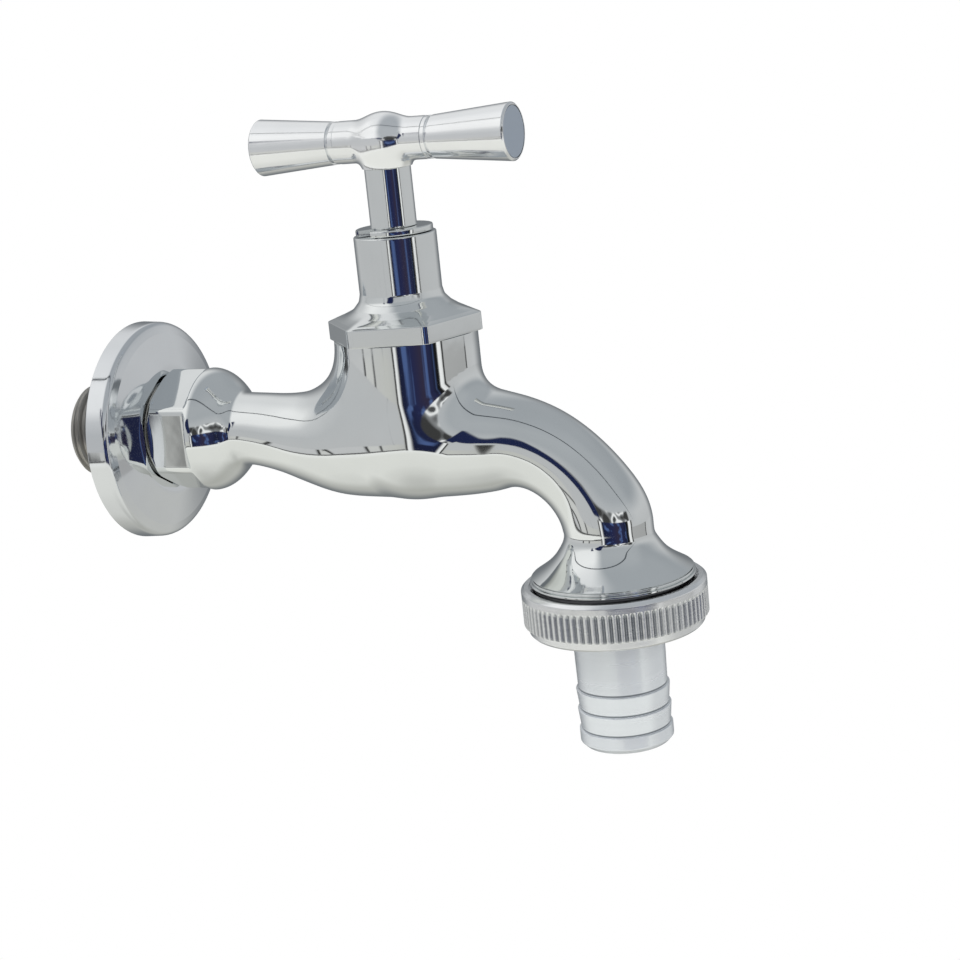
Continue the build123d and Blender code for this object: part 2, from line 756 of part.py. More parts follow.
def all_parts():
    """Every piece of the tap under its own name."""
    return {
        "valve_body": valve_body(),
        "wall_rosette": wall_rosette(),
        "bonnet": bonnet(),
        "bonnet_gasket": bonnet_gasket(),
        "spindle": spindle(),
        "spindle_o_ring_upper": o_ring(o_ring_upper_z),
        "spindle_o_ring_lower": o_ring(o_ring_lower_z),
        "thrust_washer": thrust_washer(),
        "retaining_clip": retaining_clip(),
        "valve_carrier": valve_carrier(),
        "seat_washer": seat_washer(),
        "washer_screw": washer_screw(),
        "handle_hub": handle_hub(),
        "handle_grip_right": handle_grip(1),
        "handle_grip_left": handle_grip(-1),
        "handle_end_disc_right": handle_end_disc(1),
        "handle_end_disc_left": handle_end_disc(-1),
        "handle_grub_screw": handle_grub_screw(),
        "union_nut": union_nut(),
        "hose_tail": hose_tail(),
        "union_gasket": union_gasket(),
    }


os.makedirs("parts", exist_ok=True)
for name, part in all_parts().items():
    export_step(part, f"parts/{name}.step")
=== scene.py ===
import bmesh
import bpy
import contextlib
import math
import numpy as np
from mathutils import Matrix, Vector


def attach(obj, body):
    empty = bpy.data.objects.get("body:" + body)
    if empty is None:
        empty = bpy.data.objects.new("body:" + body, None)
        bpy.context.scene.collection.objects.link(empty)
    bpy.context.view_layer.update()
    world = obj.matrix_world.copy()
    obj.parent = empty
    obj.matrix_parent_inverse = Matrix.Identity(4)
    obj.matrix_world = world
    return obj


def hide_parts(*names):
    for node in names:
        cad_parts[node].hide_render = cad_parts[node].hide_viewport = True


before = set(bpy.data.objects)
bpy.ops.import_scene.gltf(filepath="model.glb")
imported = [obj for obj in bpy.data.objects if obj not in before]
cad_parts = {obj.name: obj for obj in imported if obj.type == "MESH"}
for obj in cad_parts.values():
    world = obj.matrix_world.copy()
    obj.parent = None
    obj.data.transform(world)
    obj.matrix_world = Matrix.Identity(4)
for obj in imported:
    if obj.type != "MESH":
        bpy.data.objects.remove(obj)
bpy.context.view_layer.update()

# Sizes in millimetres, in the frame of the part
MM = 0.001
VALVE_X, OUTLET_X, HANDLE_Z, RIM_Z = 67.5, 109.3, 60.9, 20.2
VALVE, OUTLET = (VALVE_X, 0, 0), (OUTLET_X, 0, 0)
SPOUT_DROP, BEND_RADIUS = 3.0, 19.3
NECK_R, BELLY_R, WAIST_R, CHAMBER_R = 8.0, 12.7, 9.4, 15.2
HEX_BACK_X, HEX_END_X, HEX_FLATS = 7.9, 17.3, 24.0
BELL_R, BELL_LAND, NECK_X = 13.5, 1.2, 27.0
SKIN_START_X, COLLAR_TOP_Z = 24.0, -30.6
THREAD_PITCH_HALF_INCH, THREAD_PITCH_ONE_INCH = 1.814, 2.309

# Sampling of the turned pieces
TURN_STEPS, ARC_STEPS, ARC_LIMIT, POLE_R = 180, 5, 0.48, 0.05

# Noise scales per metre with their details, bump depths in metres, the used range of a noise, and a limit
# past every value
HAZE, RIPPLES, MARKS, GRAIN_DETAIL = (90.0, 4.0), (160.0, 2.0), (900.0, 5.0), 4.0
RIPPLE_DEPTH, MARK_DEPTH, GRAIN_DEPTH = 0.0002, 0.00006, 0.0002
NOISE_RANGE, NO_END = (0.3, 0.7), 9.0
MATTE_SPREAD = 0.12
WHITE = (1, 1, 1, 1)


def lin(*color):
    """Linear colour from display values."""
    return tuple(c / 12.92 if c <= 0.04045 else ((c + 0.055) / 1.055) ** 2.4 for c in color) + (1.0,)


# Materials
def new_material(name, base, metallic, roughness):
    """Principled material, its node tree and its shader."""
    material = bpy.data.materials.new(name)
    material.use_nodes = True
    tree = material.node_tree
    shader = tree.nodes["Principled BSDF"]
    for key, value in (("Base Color", base), ("Metallic", metallic), ("Roughness", roughness)):
        shader.inputs[key].default_value = value
    return material, tree, shader


def feed(tree, value, socket):
    """Link or constant into a socket."""
    if isinstance(value, bpy.types.NodeSocket):
        tree.links.new(value, socket)
    else:
        socket.default_value = value


def add_node(tree, kind, **inputs):
    """New node with values or links in its named inputs."""
    node = tree.nodes.new(kind)
    for key, value in inputs.items():
        feed(tree, value, node.inputs[key.replace("_", " ")])
    return node


def object_noise(tree, scale, detail, stretch=(1, 1, 1)):
    """Noise in the coordinates of the object, in metres, stretched along its axes."""
    place = tree.nodes.new("ShaderNodeTexCoord").outputs["Object"]
    place = add_node(tree, "ShaderNodeMapping", Vector=place, Scale=stretch).outputs["Vector"]
    return add_node(tree, "ShaderNodeTexNoise", Vector=place, Scale=scale, Detail=detail).outputs["Fac"]


def ramp(tree, factor, stops):
    """Colour ramp over a factor from pairs of place and colour."""
    node = tree.nodes.new("ShaderNodeValToRGB")
    elements = node.color_ramp.elements
    while len(elements) < len(stops):
        elements.new(0.5)
    for element, (place, color) in zip(elements, stops):
        element.position = place
        element.color = color
    tree.links.new(factor, node.inputs["Fac"])
    return node.outputs["Color"]


def map_range(tree, value, low, high, to_low=0.0, to_high=1.0, how="SMOOTHSTEP"):
    """Value carried from one range to another."""
    node = add_node(tree, "ShaderNodeMapRange", Value=value, From_Min=low, From_Max=high,
                    To_Min=to_low, To_Max=to_high)
    node.interpolation_type = how
    return node.outputs["Result"]


def math_node(tree, operation, *values):
    """Result of a math operation on sockets or numbers."""
    node = tree.nodes.new("ShaderNodeMath")
    node.operation = operation
    for value, socket in zip(values, node.inputs):
        feed(tree, value, socket)
    return node.outputs[0]


def product(tree, first, second):
    """Product of two sockets or numbers."""
    return math_node(tree, "MULTIPLY", first, second)


def total(tree, first, second):
    """Sum of two sockets or numbers."""
    return math_node(tree, "ADD", first, second)


def mix_color(tree, factor, first, second):
    """Mix of two colours or colour sockets by a factor."""
    node = tree.nodes.new("ShaderNodeMix")
    node.data_type = "RGBA"
    feed(tree, factor, node.inputs["Factor"])
    colors = [socket for socket in node.inputs if socket.type == "RGBA"]
    feed(tree, first, colors[0])
    feed(tree, second, colors[1])
    return [socket for socket in node.outputs if socket.type == "RGBA"][0]


def smooth_window(tree, value, low, high, soft):
    """One between two values, falling softly to zero outside them."""
    rise = map_range(tree, value, low - soft, low + soft)
    fall = map_range(tree, value, high - soft, high + soft, 1.0, 0.0)
    return product(tree, rise, fall)


def coordinates(tree, kind):
    """Coordinates of a kind as a vector, and as x, y and z."""
    vector = tree.nodes.new("ShaderNodeTexCoord").outputs[kind]
    split = tree.nodes.new("ShaderNodeSeparateXYZ")
    tree.links.new(vector, split.inputs[0])
    return (vector, *split.outputs)


def color_over(material, share, color):
    """Colour laid over the base colour of a material, by a share."""
    tree = material.node_tree
    base = tree.nodes["Principled BSDF"].inputs["Base Color"]
    tree.links.new(mix_color(tree, share, base.links[0].from_socket, color), base)


def surface(name, tint, metallic, rough, shades, pattern, relief, strength, depth):
    """Material with colour and roughness by one noise, and bumps by that one or another."""
    material, tree, shader = new_material(name, tint, metallic, rough[0])
    noise = object_noise(tree, *pattern)
    colors = [tuple(shade * c for c in tint[:3]) + (1.0,) for shade in shades]
    color = ramp(tree, noise, list(zip(NOISE_RANGE, colors)))
    tree.links.new(color, shader.inputs["Base Color"])
    tree.links.new(map_range(tree, noise, *NOISE_RANGE, *rough, "LINEAR"), shader.inputs["Roughness"])
    height = object_noise(tree, *relief) if relief else noise
    bump = add_node(tree, "ShaderNodeBump", Height=height, Strength=strength, Distance=depth)
    tree.links.new(bump.outputs["Normal"], shader.inputs["Normal"])
    return material


def chrome(name, tint, rough_low, rough_high, ripple):
    """Polished chrome with a light haze and faint ripples."""
    return surface(name, tint, 1.0, (rough_low, rough_high), (1.0, 0.96), HAZE, RIPPLES, ripple, RIPPLE_DEPTH)


def satin(name, tint, rough_low, rough_high, stretch, strength, metallic=1.0):
    """Turned metal with marks that run around its axis."""
    return surface(name, tint, metallic, (rough_low, rough_high), (0.95, 1.0), (*MARKS, stretch),
                   None, strength, MARK_DEPTH)


def matte(name, tint, roughness, scale, strength):
    """Dull material with a fine grain."""
    return surface(name, tint, 0.0, (roughness, roughness + MATTE_SPREAD), (0.8, 1.0),
                   (scale, GRAIN_DETAIL), None, strength, GRAIN_DEPTH)


chrome_cast = chrome("chrome_cast", (0.82, 0.84, 0.84, 1), 0.035, 0.07, 0.06)
chrome_sheet = chrome("chrome_sheet", (0.78, 0.80, 0.82, 1), 0.05, 0.09, 0.05)
chrome_turned = chrome("chrome_turned", (0.82, 0.84, 0.84, 1), 0.05, 0.10, 0.03)
chrome_handle = chrome("chrome_handle", (0.93, 0.94, 0.95, 1), 0.09, 0.15, 0.03)
satin_nut = satin("satin_nut", (0.93, 0.94, 0.95, 1), 0.20, 0.28, (0.3, 0.3, 3), 0.04)
satin_tail = satin("satin_tail", (0.77, 0.80, 0.83, 1), 0.25, 0.28, (0.02, 0.02, 1.0), 0.02, 0.75)
disc_grey = satin("disc_grey", lin(0.76, 0.80, 0.85), 0.42, 0.55, (1, 1, 1), 0.3)
brass_bare = satin("brass_bare", lin(0.72, 0.60, 0.36), 0.30, 0.42, (1, 1, 3), 0.3)
thread_inlet = satin("thread_inlet", lin(0.66, 0.65, 0.63), 0.28, 0.40, (1, 1, 1), 0.3)
# Painted shade: a darker copy of the thread metal for the outlet thread, which sits inside the nut
thread_outlet_shaded = satin("thread_outlet_shaded", lin(0.42, 0.42, 0.43), 0.30, 0.42, (1, 1, 1), 0.3)
steel_dull = satin("steel_dull", lin(0.66, 0.67, 0.69), 0.22, 0.32, (1, 1, 1), 0.3)
rubber_black = matte("rubber_black", lin(0.13, 0.13, 0.13), 0.62, 1800.0, 0.3)
fibre_red = matte("fibre_red", lin(0.48, 0.20, 0.16), 0.75, 2500.0, 0.4)
plastic_white = matte("plastic_white", lin(0.88, 0.88, 0.86), 0.45, 1200.0, 0.1)


# Meshes
def add_object(name, data):
    """New object in the scene."""
    obj = bpy.data.objects.new(name, data)
    bpy.context.scene.collection.objects.link(obj)
    return obj


def new_mesh(name, vertices, faces):
    """Mesh from vertices and faces."""
    mesh = bpy.data.meshes.new(name)
    mesh.from_pydata(np.asarray(vertices, float).tolist(), [], faces)
    return mesh


@contextlib.contextmanager
def edited(mesh):
    """Mesh opened for an edit, and written back after it."""
    work = bmesh.new()
    work.from_mesh(mesh)
    yield work
    work.to_mesh(mesh)
    work.free()


def make_object(name, vertices, faces, material, body, normals=None):
    """Mesh object from vertices in millimetres, riding on a body."""
    mesh = new_mesh(name, np.asarray(vertices, float) * MM, faces)
    mesh.polygons.foreach_set("use_smooth", [True] * len(mesh.polygons))
    mesh.update()
    if normals is not None:
        mesh.normals_split_custom_set_from_vertices(np.asarray(normals, float).tolist())
    mesh.materials.append(material)
    obj = add_object(name, mesh)
    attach(obj, body)
    return obj


def rounded(points):
    """Closed profile of (radius, place, corner radius) as dense points with arcs at its corners."""
    count = len(points)
    dense = []
    for index, (r, z, corner) in enumerate(points):
        here = Vector((r, z))
        back = Vector(points[index - 1][:2]) - here
        ahead = Vector(points[(index + 1) % count][:2]) - here
        if corner <= 0 or back.length < 1e-6 or ahead.length < 1e-6:
            dense.append(here)
            continue
        half = back.angle(ahead) / 2
        reach = min(corner / math.tan(half), ARC_LIMIT * back.length, ARC_LIMIT * ahead.length)
        start = here + back.normalized() * reach
        end = here + ahead.normalized() * reach
        for step in range(ARC_STEPS + 1):
            t = step / ARC_STEPS
            dense.append(start * (1 - t) ** 2 + here * 2 * t * (1 - t) + end * t ** 2)
    return np.array([tuple(p) for p in dense])


def fill_long(points, longest):
    """Profile with points added so that no run is longer than a length."""
    filled = []
    for a, b in zip(points, np.roll(points, -1, 0)):
        parts = max(1, int(np.linalg.norm(b - a) / longest))
        for part in range(parts):
            filled.append(a + (b - a) * part / parts)
    return np.array(filled)


def turned(name, profile, material, body, centre=(0, 0, 0), along="Z", shape=None, longest=None,
           steps=TURN_STEPS):
    """Closed turned mesh; shape may change the radius by angle and place."""
    points = rounded(profile)
    if longest:
        points = fill_long(points, longest)
    angles = np.arange(steps) * 2 * math.pi / steps
    radius = np.repeat(points[:, :1], steps, 1)
    place, turn = np.meshgrid(points[:, 1], angles, indexing="ij")
    if shape is not None:
        radius = shape(radius, place, turn)
    first, second = radius * np.cos(turn), radius * np.sin(turn)
    if along == "Z":
        grid = np.stack([first, second, place], -1)
    else:
        grid = np.stack([place, first, second], -1)
    along_profile = np.roll(grid, -1, 0) - np.roll(grid, 1, 0)
    around = np.roll(grid, -1, 1) - np.roll(grid, 1, 1)
    normal = np.cross(around, along_profile)
    length = np.linalg.norm(normal, axis=-1, keepdims=True)
    normal = normal / np.maximum(length, 1e-12)
    area = np.sum(points[:, 0] * np.roll(points[:, 1], -1) - np.roll(points[:, 0], -1) * points[:, 1])
    if area < 0:
        normal = -normal
    axis = np.array((0, 0, 1) if along == "Z" else (1, 0, 0))
    side = np.sign(place - place.mean())[..., None]
    normal = np.where(radius[..., None] < POLE_R, side * axis, normal)
    here = np.arange(len(points) * steps).reshape(len(points), steps)
    ahead = np.roll(here, -1, 1)
    quads = np.stack([here, ahead, np.roll(ahead, -1, 0), np.roll(here, -1, 0)], -1).reshape(-1, 4)
    faces = (quads if area > 0 else quads[:, ::-1]).tolist()
    vertices = grid.reshape(-1, 3) + np.array(centre)
    return make_object(name, vertices, faces, material, body, normal.reshape(-1, 3))


def circle(steps):
    """Cosines and sines of steps around a circle."""
    angles = [2 * math.pi * k / steps for k in range(steps)]
    return [(math.cos(angle), math.sin(angle)) for angle in angles]


def ring_faces(rings, steps, flip=False):
    """Faces between rings of points, with a cap at both ends."""
    faces = []
    for start in range(0, (rings - 1) * steps, steps):
        for k in range(steps):
            m = (k + 1) % steps
            quad = (start + k, start + m, start + steps + m, start + steps + k)
            faces.append((quad[0], *quad[:0:-1]) if flip else quad)
    first, last = range(steps), range((rings - 1) * steps, rings * steps)
    caps = (first, reversed(last)) if flip else (reversed(first), last)
    return faces + [tuple(cap) for cap in caps]


def soft_min(a, b, width):
    """Smaller of two values, rounded where they are nearly equal."""
    h = np.clip(0.5 + 0.5 * (b - a) / width, 0, 1)
    return b * (1 - h) + a * h - width * h * (1 - h)


def hexagon_radius(across_flats, turn, angle):
    """Radius of a hexagon at an angle, with a flat at the angle of its turn."""
    folded = (angle - math.radians(turn) + math.pi / 6) % (math.pi / 3) - math.pi / 6
    return across_flats / 2 / np.cos(folded)


THREAD_FLANK, THREAD_CREST, THREAD_CATCH = 1.15, 0.05, 0.3


def thread_shape(pitch, depth, low, high, major_r):
    """Helical thread between two places on the surfaces of the major radius."""
    def shape(radius, place, angle):
        phase = (place / pitch - angle / (2 * math.pi)) % 1.0
        ridge = np.abs(phase - 0.5) * 2
        cut = depth * np.clip(THREAD_FLANK * (1 - ridge) - THREAD_CREST, 0, 1)
        fade = np.clip((place - low) / pitch, 0, 1) * np.clip((high - place) / pitch, 0, 1)
        on_thread = np.abs(radius - major_r) < THREAD_CATCH
        return np.where(on_thread, radius - cut * fade, radius)
    return shape


def cubic(knots, values):
    """Second derivatives of the natural cubic spline through some values."""
    n = len(knots)
    h = np.diff(knots)
    matrix = np.eye(n)
    right = np.zeros(n)
    for i in range(1, n - 1):
        matrix[i, i - 1:i + 2] = h[i - 1], 2 * (h[i - 1] + h[i]), h[i]
        right[i] = 6 * ((values[i + 1] - values[i]) / h[i] - (values[i] - values[i - 1]) / h[i - 1])
    return np.linalg.solve(matrix, right)


# The casting as a smooth field around its spine. The tables hold shares: bell (way, fall in radius), neck
# and spout (way, drop, swell), bend (turn, its radius, waist), flare (way down, widening).
BELL_SHARES = [(-0.35, 0.0), (0.0, 0.0), (0.3, 0.19), (0.6, 0.6), (0.82, 0.93), (1.0, 1.0)]
NECK_SHARES = [
    (0.09, 0.08, 0.02), (0.173, 0.22, 0.085), (0.272, 0.40, 0.22),
    (0.370, 0.56, 0.43), (0.469, 0.66, 0.67), (0.568, 0.72, 0.86),
    (0.765, 0.75, 0.98), (1.0, 0.76, 1.0),
]
SPOUT_SHARES = [(0.42, 0.80, 0.85), (0.82, 0.92, 0.42), (1.0, 1.0, 0.14)]
BEND_SHARES = [(0.2, 0.965, 0.965), (0.442, 0.94, 0.925), (0.72, 0.96, 0.955), (0.95, 1.0, 1.0)]
FLARE_SHARES = [(0.1, 0.012), (0.325, 0.139), (0.614, 0.392), (0.855, 0.74), (1.0, 1.0), (1.3, 1.5)]
COLLAR_FACE_R = 16.8

# Points worked on at a time
CHUNK = 4000


def between(start, end, share):
    """Value between two, by a share."""
    return start + share * (end - start)


def casting_stations():
    """Places, heights and radii along the spine of the casting."""
    rows = []
    land_end = HEX_END_X + BELL_LAND
    for share, fall in BELL_SHARES:
        rows.append((between(land_end, NECK_X, share), 0.0, between(BELL_R, NECK_R, fall)))
    for place, drop, swell in NECK_SHARES:
        rows.append((between(NECK_X, VALVE_X, place), -drop * SPOUT_DROP, between(NECK_R, BELLY_R, swell)))
    bend_x, bend_z = OUTLET_X - BEND_RADIUS, -SPOUT_DROP - BEND_RADIUS
    for place, drop, swell in SPOUT_SHARES:
        rows.append((between(VALVE_X, bend_x, place), -drop * SPOUT_DROP, between(WAIST_R, BELLY_R, swell)))
    for turn_share, reach_share, swell in BEND_SHARES:
        turn, reach = turn_share * math.pi / 2, reach_share * BEND_RADIUS
        rows.append((bend_x + reach * math.sin(turn), bend_z + reach * math.cos(turn), swell * WAIST_R))
    for fall, widening in FLARE_SHARES:
        radius = between(WAIST_R, COLLAR_FACE_R, widening)
        rows.append((OUTLET_X, between(bend_z, COLLAR_TOP_Z, fall), radius))
    return np.array(rows)


def by_length(vectors, lengths):
    """Vectors over their lengths."""
    return vectors / np.maximum(lengths, 1e-9)[:, None]


class Spine:
    """Spine curve with a radius at each place."""

    def __init__(self, stations, samples):
        steps = np.hypot(*np.diff(stations[:, :2], axis=0).T)
        self.knots = np.concatenate([[0], np.cumsum(steps)])
        self.columns = [(stations[:, c], cubic(self.knots, stations[:, c])) for c in range(3)]
        self.samples = np.linspace(0, self.knots[-1], samples)
        self.line = np.stack([self.at(self.samples, c)[0] for c in (0, 1)], 1)

    def at(self, place, column):
        """Value and slope of a column at some places."""
        knots, (values, bend) = self.knots, self.columns[column]
        i = np.clip(np.searchsorted(knots, place) - 1, 0, len(knots) - 2)
        h = knots[i + 1] - knots[i]
        a, b = (knots[i + 1] - place) / h, (place - knots[i]) / h
        value = a * values[i] + b * values[i + 1]
        value = value + ((a ** 3 - a) * bend[i] + (b ** 3 - b) * bend[i + 1]) * h ** 2 / 6
        slope = (values[i + 1] - values[i]) / h
        slope = slope + ((3 * b ** 2 - 1) * bend[i + 1] - (3 * a ** 2 - 1) * bend[i]) * h / 6
        return value, slope

    def field(self, points):
        """Signed distance to the tube around the spine, and its gradient."""
        flat = points[:, [0, 2]]
        nearest = np.zeros(len(points), int)
        for start in range(0, len(points), CHUNK):
            part = flat[start:start + CHUNK]
            gap = ((part[:, None, :] - self.line[None, :, :]) ** 2).sum(-1)
            nearest[start:start + CHUNK] = gap.argmin(1)
        place = self.samples[nearest]
        for _ in range(3):
            x, dx = self.at(place, 0)
            z, dz = self.at(place, 1)
            along = (flat[:, 0] - x) * dx + (flat[:, 1] - z) * dz
            place = np.clip(place + along / (dx ** 2 + dz ** 2), 0, self.knots[-1])
        x, dx = self.at(place, 0)
        z, dz = self.at(place, 1)
        r, dr = self.at(place, 2)
        out = np.stack([points[:, 0] - x, points[:, 1], points[:, 2] - z], 1)
        reach = np.linalg.norm(out, axis=1)
        speed = np.sqrt(dx ** 2 + dz ** 2)
        tangent = np.stack([dx, 0 * dx, dz], 1) / speed[:, None]
        gradient = by_length(out, reach) - (dr / speed)[:, None] * tangent
        return reach - r, gradient


def capsule_field(points):
    """Signed distance to the valve chamber, and its gradient."""
    out = points - np.array([VALVE_X, 0, 0])
    out[:, 2] = np.minimum(out[:, 2], 0)
    reach = np.linalg.norm(out, axis=1)
    return reach - CHAMBER_R, by_length(out, reach)


def smooth_step(value, low, high):
    """Smooth rise from 0 to 1 between two values."""
    t = np.clip((value - low) / (high - low), 0, 1)
    return t * t * (3 - 2 * t)


BLEND_NECK_SIDE, BLEND_SPOUT_SIDE, BLEND_BELOW = 11.5, 4.5, 1.0
BLEND_REACH, BLEND_LOW_Z, BLEND_HIGH_Z = 8, -9, 6
SETTLE_ROUNDS = 6


def joined(first, second, width):
    """Union of two fields of value and gradient, with a soft fillet of a width."""
    (a, grad_a), (b, grad_b) = first, second
    h = np.clip(0.5 + 0.5 * (b - a) / width, 0, 1)
    return soft_min(a, b, width), grad_a * h[:, None] + grad_b * (1 - h)[:, None]


def casting_field(spine, points):
    """Signed distance to the whole casting, and its gradient."""
    side = smooth_step(points[:, 0], VALVE_X - BLEND_REACH, VALVE_X + BLEND_REACH)
    above = smooth_step(points[:, 2], BLEND_LOW_Z, BLEND_HIGH_Z)
    width = between(BLEND_BELOW, between(BLEND_NECK_SIDE, BLEND_SPOUT_SIDE, side), above)
    return joined(spine.field(points), capsule_field(points), width)


def settle(points, field, planes, rounds):
    """Points moved onto the zero surface of a field, those on a plane within that plane."""
    held = []
    for point, normal in planes:
        normal = np.array(normal, float)
        held.append((np.abs((points - np.array(point)) @ normal) < 1e-4, normal))
    for _ in range(rounds):
        value, gradient = field(points)
        for on_plane, normal in held:
            gradient = gradient - on_plane[:, None] * (gradient @ normal)[:, None] * normal
        size = (gradient ** 2).sum(1)
        points = points - gradient * (value / np.maximum(size, 1e-6))[:, None]
    return points


def tube_shell(stations, steps=48):
    """Closed rough tube through stations, as vertices and faces."""
    spine = Spine(stations, 300)
    place = spine.samples[::3]
    (x, dx), (z, dz) = spine.at(place, 0), spine.at(place, 1)
    r = spine.at(place, 2)[0]
    speed = np.sqrt(dx ** 2 + dz ** 2)
    vertices = []
    for i in range(len(place)):
        for cos, sin in circle(steps):
            up, side = r[i] * cos, r[i] * sin
            vertices.append((x[i] - up * dz[i] / speed[i], side, z[i] + up * dx[i] / speed[i]))
    return vertices, ring_faces(len(place), steps, flip=True)


def contents(mesh):
    """Vertices and faces of a mesh."""
    return np.array([v.co[:] for v in mesh.vertices]), [tuple(p.vertices) for p in mesh.polygons]


def remeshed(name, shells, voxel):
    """Vertices and faces of one outer skin around some closed shells."""
    vertices, faces = [], []
    for part_vertices, part_faces in shells:
        start = len(vertices)
        vertices += list(part_vertices)
        faces += [tuple(start + i for i in face) for face in part_faces]
    mesh = new_mesh(name, vertices, faces)
    with edited(mesh) as work:
        bmesh.ops.recalc_face_normals(work, faces=work.faces)
    obj = add_object(name, mesh)
    modifier = obj.modifiers.new("skin", "REMESH")
    modifier.mode = "VOXEL"
    modifier.voxel_size = voxel
    bpy.context.view_layer.update()
    result = bpy.data.meshes.new_from_object(obj.evaluated_get(bpy.context.evaluated_depsgraph_get()))
    bpy.data.objects.remove(obj)
    return contents(result)


def cut(points, polygons, planes):
    """Mesh cut flat by planes of point and outward normal, with its holes filled."""
    mesh = new_mesh("cut", points, polygons)
    with edited(mesh) as work:
        for point, normal in planes:
            parts = work.verts[:] + work.edges[:] + work.faces[:]
            made = bmesh.ops.bisect_plane(work, geom=parts, plane_co=point, plane_no=normal, clear_outer=True)
            rim = [e for e in made["geom_cut"] if isinstance(e, bmesh.types.BMEdge)]
            bmesh.ops.holes_fill(work, edges=rim, sides=0)
    return contents(mesh)


def add_well(points, polygons, centre, radius, top, floor):
    """Round well in the flat cap at a height, with as many sides as the cap has corners."""
    caps = [p for p in polygons if len(p) > 4 and np.abs(points[list(p), 2] - top).max() < 1e-3]
    cap = max(caps, key=len)
    out = points[list(cap)][:, :2] - np.array(centre)
    ring = np.array(centre) + radius * out / np.linalg.norm(out, axis=1)[:, None]
    start, count = len(points), len(cap)
    heights = np.repeat([top, floor], count)
    points = np.vstack([points, np.column_stack([np.vstack([ring, ring]), heights])])
    faces = []
    for k in range(count):
        m = (k + 1) % count
        faces.append((cap[k], cap[m], start + m, start + k))
        faces.append((start + k, start + m, start + count + m, start + count + k))
    faces.append(tuple(range(start + count, start + 2 * count)))
    return points, [p for p in polygons if p is not cap], faces


def field_object(name, points, polygons, field, planes, material, body, well=None):
    """Object on the zero surface of a field, flat where planes cut it."""
    points, polygons = cut(points, polygons, planes)
    points = settle(points, field, planes, SETTLE_ROUNDS)
    flat = []
    if well:
        points, polygons, flat = add_well(points, polygons, *well)
    normals = field(points)[1]
    normals = normals / np.linalg.norm(normals, axis=1)[:, None]
    obj = make_object(name, points, polygons + flat, material, body)
    loop_vertices = np.zeros(len(obj.data.loops), int)
    obj.data.loops.foreach_get("vertex_index", loop_vertices)
    corner_normals = normals[loop_vertices]
    for polygon in obj.data.polygons:
        if len(polygon.vertices) > 4 or polygon.index >= len(polygons):
            corner_normals[list(polygon.loop_indices)] = polygon.normal
    obj.data.normals_split_custom_set(corner_normals.tolist())
    return obj


def capsule_shell(steps=48):
    """Closed rough shape of the valve chamber."""
    turns = np.linspace(0.15, math.pi / 2, 10)
    rings = [(CHAMBER_R * math.sin(t), -CHAMBER_R * math.cos(t)) for t in turns]
    rings += [(CHAMBER_R, z) for z in np.linspace(0, RIM_Z + 4, 12)[1:]]
    vertices = [(VALVE_X + r * cos, r * sin, z) for r, z in rings for cos, sin in circle(steps)]
    return vertices, ring_faces(len(rings), steps)


WELL_R, WELL_FLOOR_Z = 13.2, 1.9
CAST_VOXEL = 0.55


def build_casting():
    """Cast skin of the body from the bell to the flare."""
    stations = casting_stations()
    spine = Spine(stations, 900)
    points, polygons = remeshed("casting_rough", [tube_shell(stations), capsule_shell()], CAST_VOXEL)
    planes = [
        ((SKIN_START_X, 0, 0), (-1, 0, 0)),
        ((0, 0, RIM_Z), (0, 0, 1)),
        ((0, 0, COLLAR_TOP_Z), (0, 0, -1)),
    ]
    well = ((VALVE_X, 0), WELL_R, RIM_Z, WELL_FLOOR_Z)
    return field_object("casting_skin", points, polygons, lambda p: casting_field(spine, p), planes,
                        chrome_cast, "tap", well)


casting = build_casting()
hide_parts("valve_body")

# Inlet side of the body
INLET_END_X, INLET_THREAD_R, INLET_SHANK_R, INLET_BORE_R = -14.1, 10.478, 10.1, 6.5
HEX_SOFT, HEX_INNER_R, HEX_CORNER_R, HEX_FADE = 0.3, 10.0, 13.6, (-0.1, 0.75)
BELL_END_X, BELL_UNDER_SKIN, BELL_STEPS = SKIN_START_X + 0.6, 0.015, 26
bell_spine = Spine(casting_stations(), 300)
bell_profile = []
for bell_x in np.linspace(HEX_END_X + 0.1, BELL_END_X, BELL_STEPS):
    bell_radius = bell_spine.at(np.array([bell_x - bell_spine.line[0, 0]]), 2)[0][0]
    bell_profile.append((bell_radius - BELL_UNDER_SKIN * (bell_x > SKIN_START_X), bell_x, 0))


def inlet_shape(radius, place, angle):
    """Flats of the hexagon, which end where the bell starts."""
    limit = soft_min(radius, hexagon_radius(HEX_FLATS, 0, angle), HEX_SOFT)
    share = 1 - smooth_step(place, HEX_END_X + HEX_FADE[0], HEX_END_X + HEX_FADE[1])
    return radius + share * (radius > HEX_INNER_R) * (limit - radius)


